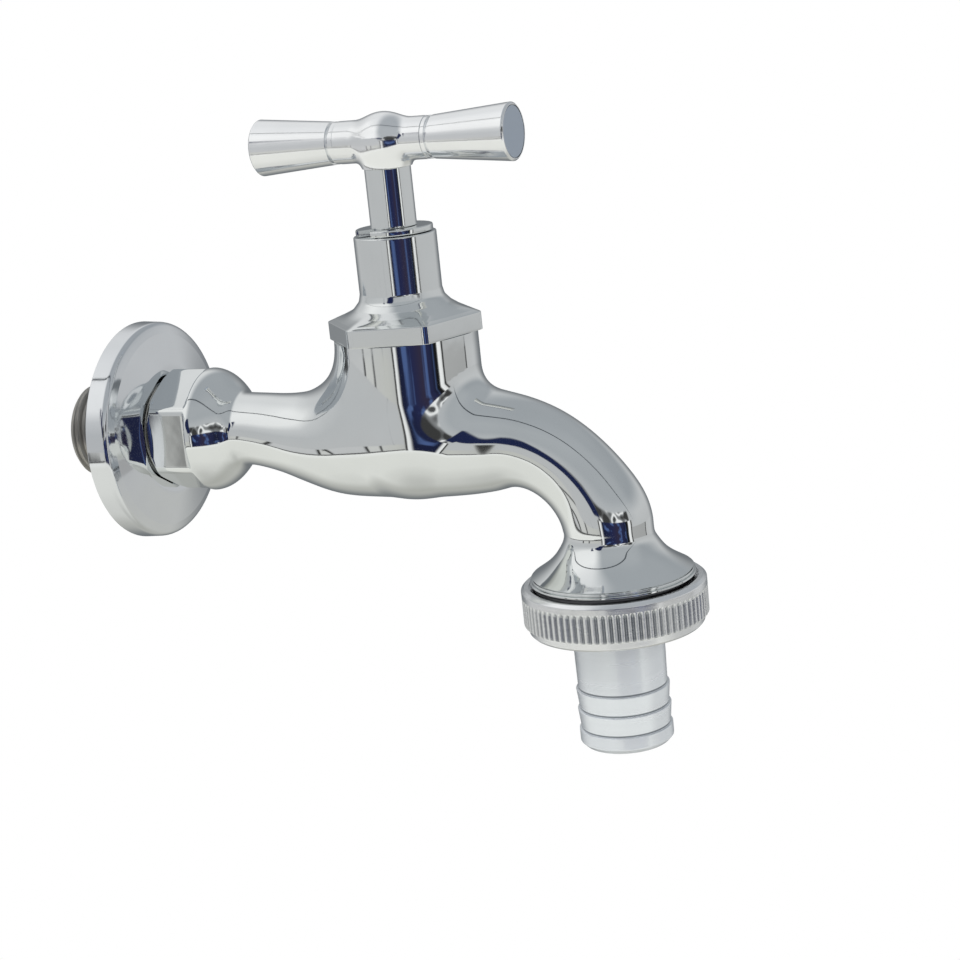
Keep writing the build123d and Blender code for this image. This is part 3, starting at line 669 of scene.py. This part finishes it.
inlet_hexagon = turned(
    "inlet_hexagon",
    [
        (INLET_SHANK_R - 3, HEX_BACK_X + 0.02, 0),
        (12.55, HEX_BACK_X + 0.02, 0.35),
        (HEX_CORNER_R, HEX_BACK_X + 1.0, 0.5),
        (HEX_CORNER_R, HEX_END_X, 0.1),
        *bell_profile,
        (INLET_SHANK_R - 3, BELL_END_X, 0),
    ],
    chrome_cast, "tap", along="X", shape=inlet_shape, longest=0.3, steps=360,
)
inlet_thread = turned(
    "inlet_thread",
    [
        (INLET_BORE_R, INLET_END_X, 0.3),
        (INLET_THREAD_R - 1.0, INLET_END_X, 0.2),
        (INLET_THREAD_R, INLET_END_X + 1.0, 0.1),
        (INLET_THREAD_R, 1.0, 0.1),
        (INLET_SHANK_R, 1.3, 0.1),
        (INLET_SHANK_R, HEX_BACK_X + 0.3, 0.1),
        (INLET_BORE_R, HEX_BACK_X + 0.3, 0),
    ],
    thread_inlet, "tap", along="X", longest=0.22,
    shape=thread_shape(THREAD_PITCH_HALF_INCH, 1.1, INLET_END_X, 1.0, INLET_THREAD_R),
)

# Outlet side of the body
COLLAR_END_Z, COLLAR_INNER_R = -32.0, 14.0
OUTLET_THREAD_R, OUTLET_BORE_R, OUTLET_END_Z = 16.624, 11.5, -38.1
outlet_collar = turned(
    "outlet_collar",
    [
        (COLLAR_INNER_R, COLLAR_TOP_Z + 0.05, 0),
        (16.55, COLLAR_TOP_Z + 0.05, 0.05),
        (16.5, -30.75, 0.05),
        (17.05, -30.8, 0.15),
        (17.1, -31.15, 0.15),
        (16.7, -31.25, 0.05),
        (16.7, -31.4, 0.05),
        (17.3, -31.5, 0.15),
        (17.3, -31.95, 0.15),
        (16.8, COLLAR_END_Z, 0.05),
        (COLLAR_INNER_R, COLLAR_END_Z, 0),
    ],
    chrome_cast, "tap", centre=OUTLET, longest=0.5,
)
outlet_thread = turned(
    "outlet_thread",
    [
        (OUTLET_BORE_R, COLLAR_END_Z + 0.5, 0),
        (16.0, COLLAR_END_Z + 0.5, 0),
        (OUTLET_THREAD_R, COLLAR_END_Z - 0.2, 0.1),
        (OUTLET_THREAD_R, -37.4, 0.1),
        (15.9, OUTLET_END_Z, 0.1),
        (OUTLET_BORE_R, OUTLET_END_Z, 0.2),
    ],
    thread_outlet_shaded, "tap", centre=OUTLET, longest=0.25,
    shape=thread_shape(THREAD_PITCH_ONE_INCH, 1.2, OUTLET_END_Z - 0.3, COLLAR_END_Z, OUTLET_THREAD_R),
)

# Rosette
rosette = turned(
    "rosette_dome",
    [
        (23.3, 0.0, 0.15),
        (24.2, 0.0, 0.2),
        (23.97, 4.75, 1.5),
        (21.4, 5.62, 1.0),
        (14.2, 7.35, 5.0),
        (10.9, 7.4, 0.1),
        (10.73, 7.1, 0.1),
        (10.73, 6.5, 0.1),
        (13.9, 6.5, 2.0),
        (22.7, 4.0, 1.0),
    ],
    chrome_sheet, "rosette", along="X", longest=0.6, steps=240,
)
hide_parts("wall_rosette")

# Bonnet
BONNET_TURN, BONNET_FLATS, FLANGE_CORNER_R, FLANGE_SOFT = 41.9, 29.2, 16.6, 0.35
FLANGE_TOP_Z, FLANGE_FADE_Z = 23.95, 26.4
# Radii past which the hexagon counts: next to the chamber's mouth, and above
FLANGE_LOW_R, FLANGE_INNER_R = 14.4, 9.0


def flange_shape(radius, place, angle):
    """Hexagonal flange that runs up into the round tube."""
    corner = soft_min(hexagon_radius(BONNET_FLATS, BONNET_TURN, angle), FLANGE_CORNER_R, FLANGE_SOFT)
    share = (1 - smooth_step(place, FLANGE_TOP_Z, FLANGE_FADE_Z)) * (place > RIM_Z)
    share = share * (radius > np.where(place > RIM_Z + 0.9, FLANGE_INNER_R, FLANGE_LOW_R))
    return radius + share * (corner - BONNET_FLATS / 2)


bonnet = turned(
    "bonnet_shell",
    [
        (8.9, 9.6, 0.1),
        (13.13, 9.6, 0.3),
        (13.13, RIM_Z + 0.8, 0.1),
        (14.3, RIM_Z + 0.8, 0.0),
        (14.3, RIM_Z + 0.02, 0.0),
        (14.6, RIM_Z + 0.02, 0.1),
        (14.6, FLANGE_TOP_Z, 0.18),
        (13.5, 24.45, 0.8),
        (12.1, 25.3, 1.5),
        (10.4, 26.5, 2.0),
        (9.06, 28.0, 2.0),
        (8.7, 29.6, 2.0),
        (8.7, 41.6, 0.35),
        (4.9, 41.6, 0.2),
        (4.9, 26.2, 0.1),
        (8.9, 26.2, 0.1),
    ],
    chrome_turned, "tap", centre=VALVE, longest=0.35, steps=360,
    shape=flange_shape,
)
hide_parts("bonnet")

# Spindle, with two grooves for its rings
STEM_R, GROOVE_R, GROOVE_WIDTH = 4.85, 3.35, 1.9
ring_grooves = []
for low in (30.25, 35.45):
    high = low + GROOVE_WIDTH
    corners = (STEM_R, low), (GROOVE_R, low), (GROOVE_R, high), (STEM_R, high)
    ring_grooves += [(r, z, 0.05) for r, z in corners]
spindle = turned(
    "spindle_stem",
    [
        (0.0001, 13.6, 0),
        (3.4, 13.6, 0.1),
        (3.95, 14.2, 0.1),
        (3.95, 23.4, 0.05),
        (8.0, 23.4, 0.15),
        (8.0, 25.4, 0.15),
        (STEM_R, 25.4, 0.05),
        *ring_grooves,
        (STEM_R, 41.6, 0.05),
        (4.2, 41.6, 0.05),
        (4.2, 43.07, 0.05),
        (STEM_R, 43.07, 0.1),
        (STEM_R, 55.35, 0.15),
        (0.0001, 55.35, 0),
    ],
    chrome_turned, "handle", centre=VALVE, longest=1.0,
)
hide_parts("spindle")

# Handle
HUB_R, ARM_R, ARM_REACH, HUB_NECK_R = 5.8, 4.45, 10.0, 5.05
HUB_BLEND, HUB_BOTTOM_Z, HUB_VOXEL, HUB_OVER = 2.2, 55.4, 0.28, 1.5
HANDLE_CENTRE = (VALVE_X, 0, HANDLE_Z)
GRIP_SMALL_R, GRIP_LARGE_R, GRIP_REACH = 4.35, 5.95, 29.2
SEAM_DEPTH, RECESS_R, RECESS_DEPTH = 0.4, 5.4, 0.86
DISC_R, DISC_INSET = 5.24, 0.06


def hub_field(points):
    """Signed distance to the hub: a swell on an arm, with a neck below."""
    local = points - np.array(HANDLE_CENTRE)
    x, y, z = local.T
    ball, arm, neck = np.linalg.norm(local, axis=1), np.hypot(y, z), np.hypot(x, y)
    neck_side = by_length(np.stack([x, y, 0 * neck], 1), neck)
    neck_gradient = np.where((neck - HUB_NECK_R < z)[:, None], np.array([0, 0, 1.0]), neck_side)
    swell_field = ball - HUB_R, by_length(local, ball)
    arm_field = arm - ARM_R, by_length(np.stack([0 * arm, y, z], 1), arm)
    neck_field = np.maximum(neck - HUB_NECK_R, z), neck_gradient
    return joined(joined(swell_field, arm_field, HUB_BLEND), neck_field, HUB_BLEND)


def rod_shell(start, end, radius, steps=40, rings=12):
    """Closed rough rod between two points."""
    axis = Vector(end) - Vector(start)
    side = axis.orthogonal().normalized()
    other = axis.normalized().cross(side)
    vertices = []
    for i in range(rings):
        centre = Vector(start) + axis * i / (rings - 1)
        for cos, sin in circle(steps):
            vertices.append(tuple(centre + side * radius * cos + other * radius * sin))
    return vertices, ring_faces(rings, steps)


def build_hub():
    """Hub of the T handle."""
    reach = ARM_REACH + HUB_OVER
    arm = rod_shell((VALVE_X - reach, 0, HANDLE_Z), (VALVE_X + reach, 0, HANDLE_Z), ARM_R)
    neck = rod_shell((VALVE_X, 0, HUB_BOTTOM_Z - HUB_OVER), HANDLE_CENTRE, HUB_NECK_R)
    swell = rod_shell((VALVE_X - 3, 0, HANDLE_Z), (VALVE_X + 3, 0, HANDLE_Z), HUB_R - 0.6)
    points, polygons = remeshed("hub_rough", [arm, neck, swell], HUB_VOXEL)
    planes = [
        ((VALVE_X - ARM_REACH, 0, 0), (-1, 0, 0)),
        ((VALVE_X + ARM_REACH, 0, 0), (1, 0, 0)),
        ((0, 0, HUB_BOTTOM_Z), (0, 0, -1)),
    ]
    return field_object("hub_skin", points, polygons, hub_field, planes, chrome_handle, "handle")


hub = build_hub()
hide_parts("handle_hub")


def mirrored(profile):
    """Profile that runs the other way along its axis."""
    return [(r, -x, corner) for r, x, corner in reversed(profile)]


def build_grip(side):
    """Tapered grip with its recessed disc."""
    word = "right" if side > 0 else "left"
    slope = (GRIP_LARGE_R - GRIP_SMALL_R) / (GRIP_REACH - ARM_REACH)
    seam_r = GRIP_SMALL_R - SEAM_DEPTH
    profile = [
        (0.5, ARM_REACH, 0),
        (GRIP_SMALL_R, ARM_REACH, 0.18),
        (GRIP_SMALL_R + slope, ARM_REACH + 1.0, 0.08),
        (seam_r, ARM_REACH + 1.12, 0.05),
        (seam_r, ARM_REACH + 1.55, 0.05),
        (GRIP_SMALL_R + slope * 1.7, ARM_REACH + 1.7, 0.08),
        (GRIP_LARGE_R, GRIP_REACH - 0.35, 0.25),
        (GRIP_LARGE_R - 0.4, GRIP_REACH, 0.15),
        (RECESS_R, GRIP_REACH, 0.06),
        (RECESS_R, GRIP_REACH - RECESS_DEPTH, 0.05),
        (0.5, GRIP_REACH - RECESS_DEPTH, 0),
    ]
    back, face = GRIP_REACH - RECESS_DEPTH + 0.01, GRIP_REACH - DISC_INSET
    ends = [(0.01, back, 0), (DISC_R, back, 0.05), (DISC_R, face, 0.08), (0.01, face, 0)]
    if side < 0:
        profile, ends = mirrored(profile), mirrored(ends)
    grip = turned("grip_" + word, profile, chrome_handle, "handle", HANDLE_CENTRE, along="X", longest=0.8)
    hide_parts("handle_grip_" + word)
    disc = turned("end_disc_" + word, ends, disc_grey, "handle", HANDLE_CENTRE, along="X", longest=0.6)
    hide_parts("handle_end_disc_" + word)


build_grip(1)
build_grip(-1)

# Union nut
NUT_R, NUT_TOP_Z, NUT_BOTTOM_Z, NUT_FLOOR_Z, NUT_HOLE_R = 19.4, -32.5, -42.6, -41.1, 9.85
TOOTH_COUNT, TOOTH_DEPTH, TOOTH_FLANK = 80, 0.5, (0.25, 0.95)
TEETH_START, TEETH_STOP, TEETH_INNER_R = (-40.9, -40.5), (-35.0, -34.5), 18.9
# Low end, high end and softness of a tooth's bright share, and in metres of the teeth's heights and radii
TOOTH_PHASES = (0.24, 0.76, 0.13)
TEETH_HEIGHTS = (-0.0408, -0.0348, 0.0002)
TEETH_RADII = (0.0186, NO_END, 0.0001)
# Colour of the painted shade in the valleys between the teeth
VALLEY_SHADE_COLOR = (0.44, 0.46, 0.48, 1)


def tooth_shape(radius, place, angle):
    """Upright teeth on the outer band of the nut."""
    phase = (angle * TOOTH_COUNT / (2 * math.pi)) % 1.0
    ridge = np.abs(phase - 0.5) * 2
    depth = TOOTH_DEPTH * smooth_step(ridge, *TOOTH_FLANK)
    low = smooth_step(place, *TEETH_START)
    high = 1 - smooth_step(place, *TEETH_STOP)
    return np.where(radius > TEETH_INNER_R, radius - depth * low * high, radius)


def shade_tooth_valleys(material):
    """Painted shade in the valleys between the teeth, by the angle around the nut."""
    tree = material.node_tree
    x, y, z = coordinates(tree, "Object")[1:]
    across = math_node(tree, "SUBTRACT", x, OUTLET_X * MM)
    turns = product(tree, math_node(tree, "ARCTAN2", y, across), TOOTH_COUNT / (2 * math.pi))
    phase = math_node(tree, "FRACT", total(tree, turns, TOOTH_COUNT))
    valley_shade = math_node(tree, "SUBTRACT", 1.0, smooth_window(tree, phase, *TOOTH_PHASES))
    square = total(tree, product(tree, across, across), product(tree, y, y))
    outer = smooth_window(tree, math_node(tree, "POWER", square, 0.5), *TEETH_RADII)
    share = product(tree, valley_shade, smooth_window(tree, z, *TEETH_HEIGHTS))
    color_over(material, product(tree, share, outer), VALLEY_SHADE_COLOR)


# Painted shade darkens the valleys between the nut's teeth
shade_tooth_valleys(satin_nut)
nut = turned(
    "nut_ring",
    [
        (NUT_HOLE_R, NUT_BOTTOM_Z, 0.15),
        (17.9, NUT_BOTTOM_Z, 0.2),
        (18.4, -42.1, 0.2),
        (18.45, -40.85, 0.1),
        (19.38, -40.55, 0.25),
        (NUT_R, -34.5, 0.1),
        (NUT_R, -33.2, 0.5),
        (18.7, -32.55, 0.4),
        (17.75, NUT_TOP_Z, 0.15),
        (16.75, -33.5, 0.1),
        (16.7, NUT_FLOOR_Z, 0.1),
        (NUT_HOLE_R, NUT_FLOOR_Z, 0.1),
    ],
    satin_nut, "nut", centre=OUTLET, longest=0.45, steps=TOOTH_COUNT * 12, shape=tooth_shape,
)
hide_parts("union_nut")

# Hose tail
BARB_LEDGES, BARB_R, BARB_VALLEY_R = (-64.32, -59.92, -55.52), 9.88, 9.42
# Painted shade in the corners above the barb ledges: its heights over each ledge, its softness and its colour
BARB_SHADE_BAND, BARB_SOFT = (0.06, 0.42), 0.05
BARB_SHADE_COLOR = (0.22, 0.24, 0.26, 1)
TAIL_END_Z, TAIL_TOP_Z, TAIL_FLANGE_Z = -68.0, -39.6, -41.05
TAIL_BORE_R, TAIL_R, TAIL_FLANGE_R = 7.6, 9.68, 15.8


def shade_barb_corners(material):
    """Painted shade as dark lines in the corners above the barbs."""
    tree = material.node_tree
    z = coordinates(tree, "Object")[3]
    share = 0.0
    for ledge in BARB_LEDGES:
        low, high = [(ledge + height) * MM for height in BARB_SHADE_BAND]
        share = total(tree, smooth_window(tree, z, low, high, BARB_SOFT * MM), share)
    color_over(material, share, BARB_SHADE_COLOR)


# Painted shade darkens the corners above the barbs
shade_barb_corners(satin_tail)
barbs = [row for z in BARB_LEDGES for row in ((BARB_R, z - 0.1, 0.12), (BARB_VALLEY_R, z, 0.05))]
tail = turned(
    "tail_tube",
    [
        (TAIL_BORE_R, TAIL_END_Z, 0.2),
        (8.9, TAIL_END_Z, 0.35),
        (BARB_R, TAIL_END_Z + 1.0, 0.4),
        *barbs,
        (TAIL_R, -42.0, 0.1),
        (TAIL_R, TAIL_FLANGE_Z, 0.1),
        (TAIL_FLANGE_R, TAIL_FLANGE_Z, 0.1),
        (TAIL_FLANGE_R, TAIL_TOP_Z, 0.1),
        (TAIL_BORE_R, TAIL_TOP_Z, 0.2),
    ],
    satin_tail, "tail", centre=OUTLET, longest=0.8,
)
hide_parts("hose_tail")

# Clip on top of the bonnet
CLIP_INNER_R, CLIP_R, CLIP_LOW_Z, CLIP_TOP_Z = 4.26, 8.1, 41.74, 43.0
CLIP_HALF_GAP, CLIP_DIRECTION, CLIP_STEPS = math.radians(18), math.radians(-120), 120
SMOOTH_ANGLE = math.radians(40)


def build_clip():
    """Open ring with rounded edges and flat ends."""
    section = rounded([
        (CLIP_INNER_R, CLIP_LOW_Z, 0.25),
        (CLIP_R, CLIP_LOW_Z, 0.3),
        (CLIP_R, CLIP_TOP_Z, 0.3),
        (CLIP_INNER_R, CLIP_TOP_Z, 0.25),
    ])
    start, end = CLIP_DIRECTION + CLIP_HALF_GAP, CLIP_DIRECTION + 2 * math.pi - CLIP_HALF_GAP
    vertices = [(VALVE_X + r * math.cos(angle), r * math.sin(angle), z)
                for angle in np.linspace(start, end, CLIP_STEPS) for r, z in section]
    faces = ring_faces(CLIP_STEPS, len(section), flip=True)
    clip = make_object("clip_ring", vertices, faces, chrome_turned, "handle")
    with edited(clip.data) as work:
        bmesh.ops.recalc_face_normals(work, faces=work.faces)
        for edge in work.edges:
            edge.smooth = edge.calc_face_angle(0) < SMOOTH_ANGLE
    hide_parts("retaining_clip")


build_clip()

# Inner pieces keep their solids and get their own finishes
FINISHES = {
    "bonnet_gasket": fibre_red,
    "thrust_washer": plastic_white,
    "spindle_o_ring_upper": rubber_black,
    "spindle_o_ring_lower": rubber_black,
    "valve_carrier": brass_bare,
    "seat_washer": rubber_black,
    "washer_screw": brass_bare,
    "union_gasket": rubber_black,
    "handle_grub_screw": steel_dull,
}
for node, material in FINISHES.items():
    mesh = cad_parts[node].data
    if mesh.materials:
        mesh.materials[0] = material
    else:
        mesh.materials.append(material)

# Camera at the photo's viewing angle
CAMERA_PLACE = (274.88, -408.71, 96.16)
CAMERA_RIGHT = (0.90902, 0.40427, -0.1012)
CAMERA_DOWN = (0.00466, -0.25267, -0.96754)
CAMERA_AHEAD = (-0.41672, 0.87905, -0.23156)
FOCAL_PIXELS, PHOTO_PIXELS, SENSOR = 2201.64, 960.0, 36.0
camera_data = bpy.data.cameras.new("camera")
camera = add_object("camera", camera_data)
camera_data.sensor_width = SENSOR
camera_data.lens = FOCAL_PIXELS / PHOTO_PIXELS * SENSOR
camera_data.clip_start, camera_data.clip_end = 0.01, 50.0
camera_rows = zip(CAMERA_RIGHT, CAMERA_DOWN, CAMERA_AHEAD, CAMERA_PLACE)
camera.matrix_world = Matrix([(r, -d, -a, p * MM) for r, d, a, p in camera_rows] + [(0, 0, 0, 1)])
bpy.context.scene.camera = camera

# Floor
FLOOR_Z, FLOOR_HALF = -300.0, 6000.0
FLOOR_COLOR, FLOOR_ROUGHNESS = (0.86, 0.86, 0.85, 1), 0.9
corners = [(x * FLOOR_HALF, y * FLOOR_HALF, FLOOR_Z) for x, y in ((-1, -1), (1, -1), (1, 1), (-1, 1))]
floor_mesh = new_mesh("floor", np.array(corners) * MM, [(0, 1, 2, 3)])
floor = add_object("floor", floor_mesh)
floor.visible_glossy = False


def floor_material():
    """Pale floor that keeps the object's shadow and shows white to the camera."""
    material, tree, shader = new_material("floor_pale", FLOOR_COLOR, 0.0, FLOOR_ROUGHNESS)
    glow = add_node(tree, "ShaderNodeEmission", Color=WHITE, Strength=1.0)
    mixed = tree.nodes.new("ShaderNodeMixShader")
    rays = tree.nodes.new("ShaderNodeLightPath").outputs
    seen = math_node(tree, "MAXIMUM", rays["Is Camera Ray"], rays["Is Glossy Ray"])
    seen = math_node(tree, "MAXIMUM", seen, rays["Is Transmission Ray"])
    tree.links.new(seen, mixed.inputs["Fac"])
    tree.links.new(shader.outputs[0], mixed.inputs[1])
    tree.links.new(glow.outputs[0], mixed.inputs[2])
    tree.links.new(mixed.outputs[0], tree.nodes["Material Output"].inputs["Surface"])
    return material


floor_mesh.materials.append(floor_material())


# World: white to the camera, a plain studio with soft bands to the metal
def grey(value, warm=0.0):
    """Colour near grey, warmer or cooler by a share."""
    if warm >= 0:
        return (value, value * 1.005, value * (1 - 2.4 * warm), 1)
    return (value * (1 + warm), value * (1 + 0.2 * warm), value * (1 - 0.4 * warm), 1)


# What the metal sees: by height on the camera's side and behind, and by compass angle near the horizon
FRONT_HEIGHTS = [
    (-1.0, grey(0.58, 0.02)), (-0.90, grey(0.72, 0.02)), (-0.74, grey(0.82, 0.02)),
    (-0.42, grey(0.84, 0.02)), (-0.335, grey(0.96, 0.01)), (-0.325, grey(0.02)),
    (-0.310, grey(0.02)), (-0.300, grey(0.56, -0.01)), (-0.12, grey(0.57, -0.02)),
    (0.10, grey(0.56, -0.03)), (0.30, grey(0.66, -0.02)), (0.46, grey(0.92)),
    (0.74, grey(0.97)), (0.88, grey(0.88, -0.01)), (1.0, grey(0.80, -0.02)),
]
BACK_HEIGHTS = [
    (-1.0, grey(0.46, 0.03)), (-0.6, grey(0.60, 0.02)), (-0.23, grey(0.56, -0.02)),
    (0.0, grey(0.60, -0.02)), (0.4, grey(0.66, -0.02)), (0.7, grey(0.80, -0.01)),
    (1.0, grey(0.80, -0.02)),
]
COMPASS = [
    (-180, grey(0.60, -0.01)), (-141, grey(0.62, -0.01)), (-140, grey(0.05)),
    (-137.5, grey(0.05)), (-136.5, grey(0.66, 0.01)), (-124, grey(0.66, 0.01)),
    (-123, grey(0.10)), (-121, grey(0.10)), (-120, grey(0.62, 0.01)),
    (-100, grey(0.60, 0.02)), (-89.5, grey(0.56, 0.01)), (-88.5, grey(0.02)),
    (-86.5, grey(0.02)), (-86, grey(1.0)), (-82.5, grey(0.8)),
    (-81, (0.012, 0.016, 0.04, 1)), (-60, (0.02, 0.025, 0.08, 1)), (-45, (0.035, 0.03, 0.06, 1)),
    (-30, (0.02, 0.025, 0.07, 1)), (-21, grey(0.01)), (-17, grey(0.01)),
    (-16, grey(1.0)), (-10, grey(0.9)), (-9, grey(0.03)),
    (-7, grey(0.03)), (-6, grey(0.44)), (38, grey(0.42)),
    (39, grey(0.05)), (41, grey(0.05)), (42, grey(0.58, -0.01)),
    (70, grey(0.62, -0.02)), (180, grey(0.60, -0.01)),
]
# Windows of low end, high end and softness, in height, in compass degrees or in the value of a noise
HORIZON_HEIGHTS, BACK_SIDE = (-0.300, -0.17, 0.004), (0.10, NO_END, 0.2)
NAVY_HEIGHTS, NAVY_TURNS = (-0.34, 0.02, 0.012), (-90, -5, 0.5)
# Blue glow in the navy band
GLOW_TURNS, GLOW_SPOTS, GLOW_NOISE = (-76, -24, 3.0), (0.58, NO_END, 0.05), (4.5, 3.0)
GLOW_COLOR = (0.08, 0.13, 0.30, 1)
# Dim side of the room towards the spout
EAST_REACH, EAST_HEIGHTS, EAST_SHARE = (-0.18, NO_END, 0.16), (0.3, NO_END, 0.2), 0.75
EAST_COLOR = (0.27, 0.30, 0.33, 1)
# Broken shapes of the room, by the value of a noise
ROOM_TURNS, ROOM_HEIGHTS, ROOM_NOISE = (-86, -12, 2.0), (-0.02, 0.26, 0.03), (2.6, 1.0)
ROOM_BANDS = [
    (0.36, grey(0.04)), (0.43, grey(0.10, -0.05)), (0.47, grey(0.8)),
    (0.52, grey(1.0)), (0.56, grey(0.3, -0.03)), (0.62, grey(0.05)),
]
# Dark patches that lean with height, in degrees for the height of one
PATCH_TURNS, PATCH_HEIGHTS, PATCH_LEAN = (-108, -80, 1.5), (-0.28, 0.50, 0.02), 25
PATCH_SPOTS, PATCH_COLOR = (0.465, NO_END, 0.02), (0.015, 0.022, 0.07, 1)
# Dark beam that runs along the inlet, by angle over the horizon
BEAM_RISE, BEAM_COLOR = (64.9, 67.1, 0.4), (0.05, 0.06, 0.07, 1)
# Dark wall straight behind the tap, which the edges of the metal mirror
WALL_TOWARDS, WALL_SPREAD, WALL_SHARE = (-0.417, 0.879, -0.232), (0.60, 0.99), 0.85
WALL_COLOR = (0.10, 0.115, 0.13, 1)
# Light that the studio gives to dull surfaces
ROOM_LIGHT = (0.62, 0.63, 0.65, 1)


def build_world():
    """Studio around the object, white to the camera."""
    world = bpy.data.worlds.new("studio")
    bpy.context.scene.world = world
    world.use_nodes = True
    tree = world.node_tree
    direction, x, y, z = coordinates(tree, "Generated")
    degrees = product(tree, math_node(tree, "ARCTAN2", y, x), 180 / math.pi)

    def window(value, limits):
        return smooth_window(tree, value, *limits)

    def noise(scale, detail):
        node = add_node(tree, "ShaderNodeTexNoise", Vector=direction, Scale=scale, Detail=detail)
        return node.outputs["Fac"]

    def bands(value, stops, low, high):
        scaled = map_range(tree, value, low, high, how="LINEAR")
        return ramp(tree, scaled, [((place - low) / (high - low), color) for place, color in stops])

    front, back = bands(z, FRONT_HEIGHTS, -1, 1), bands(z, BACK_HEIGHTS, -1, 1)
    studio = mix_color(tree, window(y, BACK_SIDE), front, back)

    strips = bands(degrees, COMPASS, -180, 180)
    glow = product(tree, window(noise(*GLOW_NOISE), GLOW_SPOTS), window(degrees, GLOW_TURNS))
    strips = mix_color(tree, glow, strips, GLOW_COLOR)

    east = product(tree, window(x, EAST_REACH), window(z, EAST_HEIGHTS))
    rise = math_node(tree, "ARCTAN2", z, product(tree, y, -1))
    beam = window(product(tree, rise, 180 / math.pi), BEAM_RISE)
    shapes = noise(*ROOM_NOISE)
    room = product(tree, window(degrees, ROOM_TURNS), window(z, ROOM_HEIGHTS))
    leaning = total(tree, degrees, product(tree, z, PATCH_LEAN))
    patches = product(tree, window(leaning, PATCH_TURNS), window(z, PATCH_HEIGHTS))
    navy = product(tree, window(z, NAVY_HEIGHTS), window(degrees, NAVY_TURNS))
    toward = tree.nodes.new("ShaderNodeVectorMath")
    toward.operation = "DOT_PRODUCT"
    feed(tree, direction, toward.inputs[0])
    feed(tree, WALL_TOWARDS, toward.inputs[1])
    layers = [
        (product(tree, east, EAST_SHARE), EAST_COLOR),
        (beam, BEAM_COLOR),
        (room, ramp(tree, shapes, ROOM_BANDS)),
        (product(tree, patches, window(shapes, PATCH_SPOTS)), PATCH_COLOR),
        (math_node(tree, "MAXIMUM", window(z, HORIZON_HEIGHTS), navy), strips),
        (map_range(tree, toward.outputs["Value"], *WALL_SPREAD, 0.0, WALL_SHARE), WALL_COLOR),
    ]
    for share, color in layers:
        studio = mix_color(tree, share, studio, color)
    rays = tree.nodes.new("ShaderNodeLightPath").outputs
    seen = mix_color(tree, rays["Is Glossy Ray"], ROOM_LIGHT, studio)
    seen = mix_color(tree, rays["Is Camera Ray"], seen, WHITE)
    seen = mix_color(tree, rays["Is Transmission Ray"], seen, WHITE)
    background = tree.nodes["Background"]
    tree.links.new(seen, background.inputs["Color"])
    background.inputs["Strength"].default_value = 1.0


build_world()

# Soft square lights that look at a point: name, place, size in millimetres, power
LIGHT_TARGET = (60, 0, 0)
LIGHTS = [("key_soft", (-250, -450, 700), 500, 9.0), ("fill_soft", (600, -300, 300), 400, 3.5)]
for lamp, spot, width, power in LIGHTS:
    light_data = bpy.data.lights.new(lamp, "AREA")
    light_data.size, light_data.energy = width * MM, power
    light = add_object(lamp, light_data)
    light.location = Vector(spot) * MM
    light.rotation_mode = "QUATERNION"
    light.rotation_quaternion = (Vector(LIGHT_TARGET) - Vector(spot)).to_track_quat("-Z", "Y")
    light.visible_glossy = False

bpy.context.scene.view_settings.view_transform = "Standard"
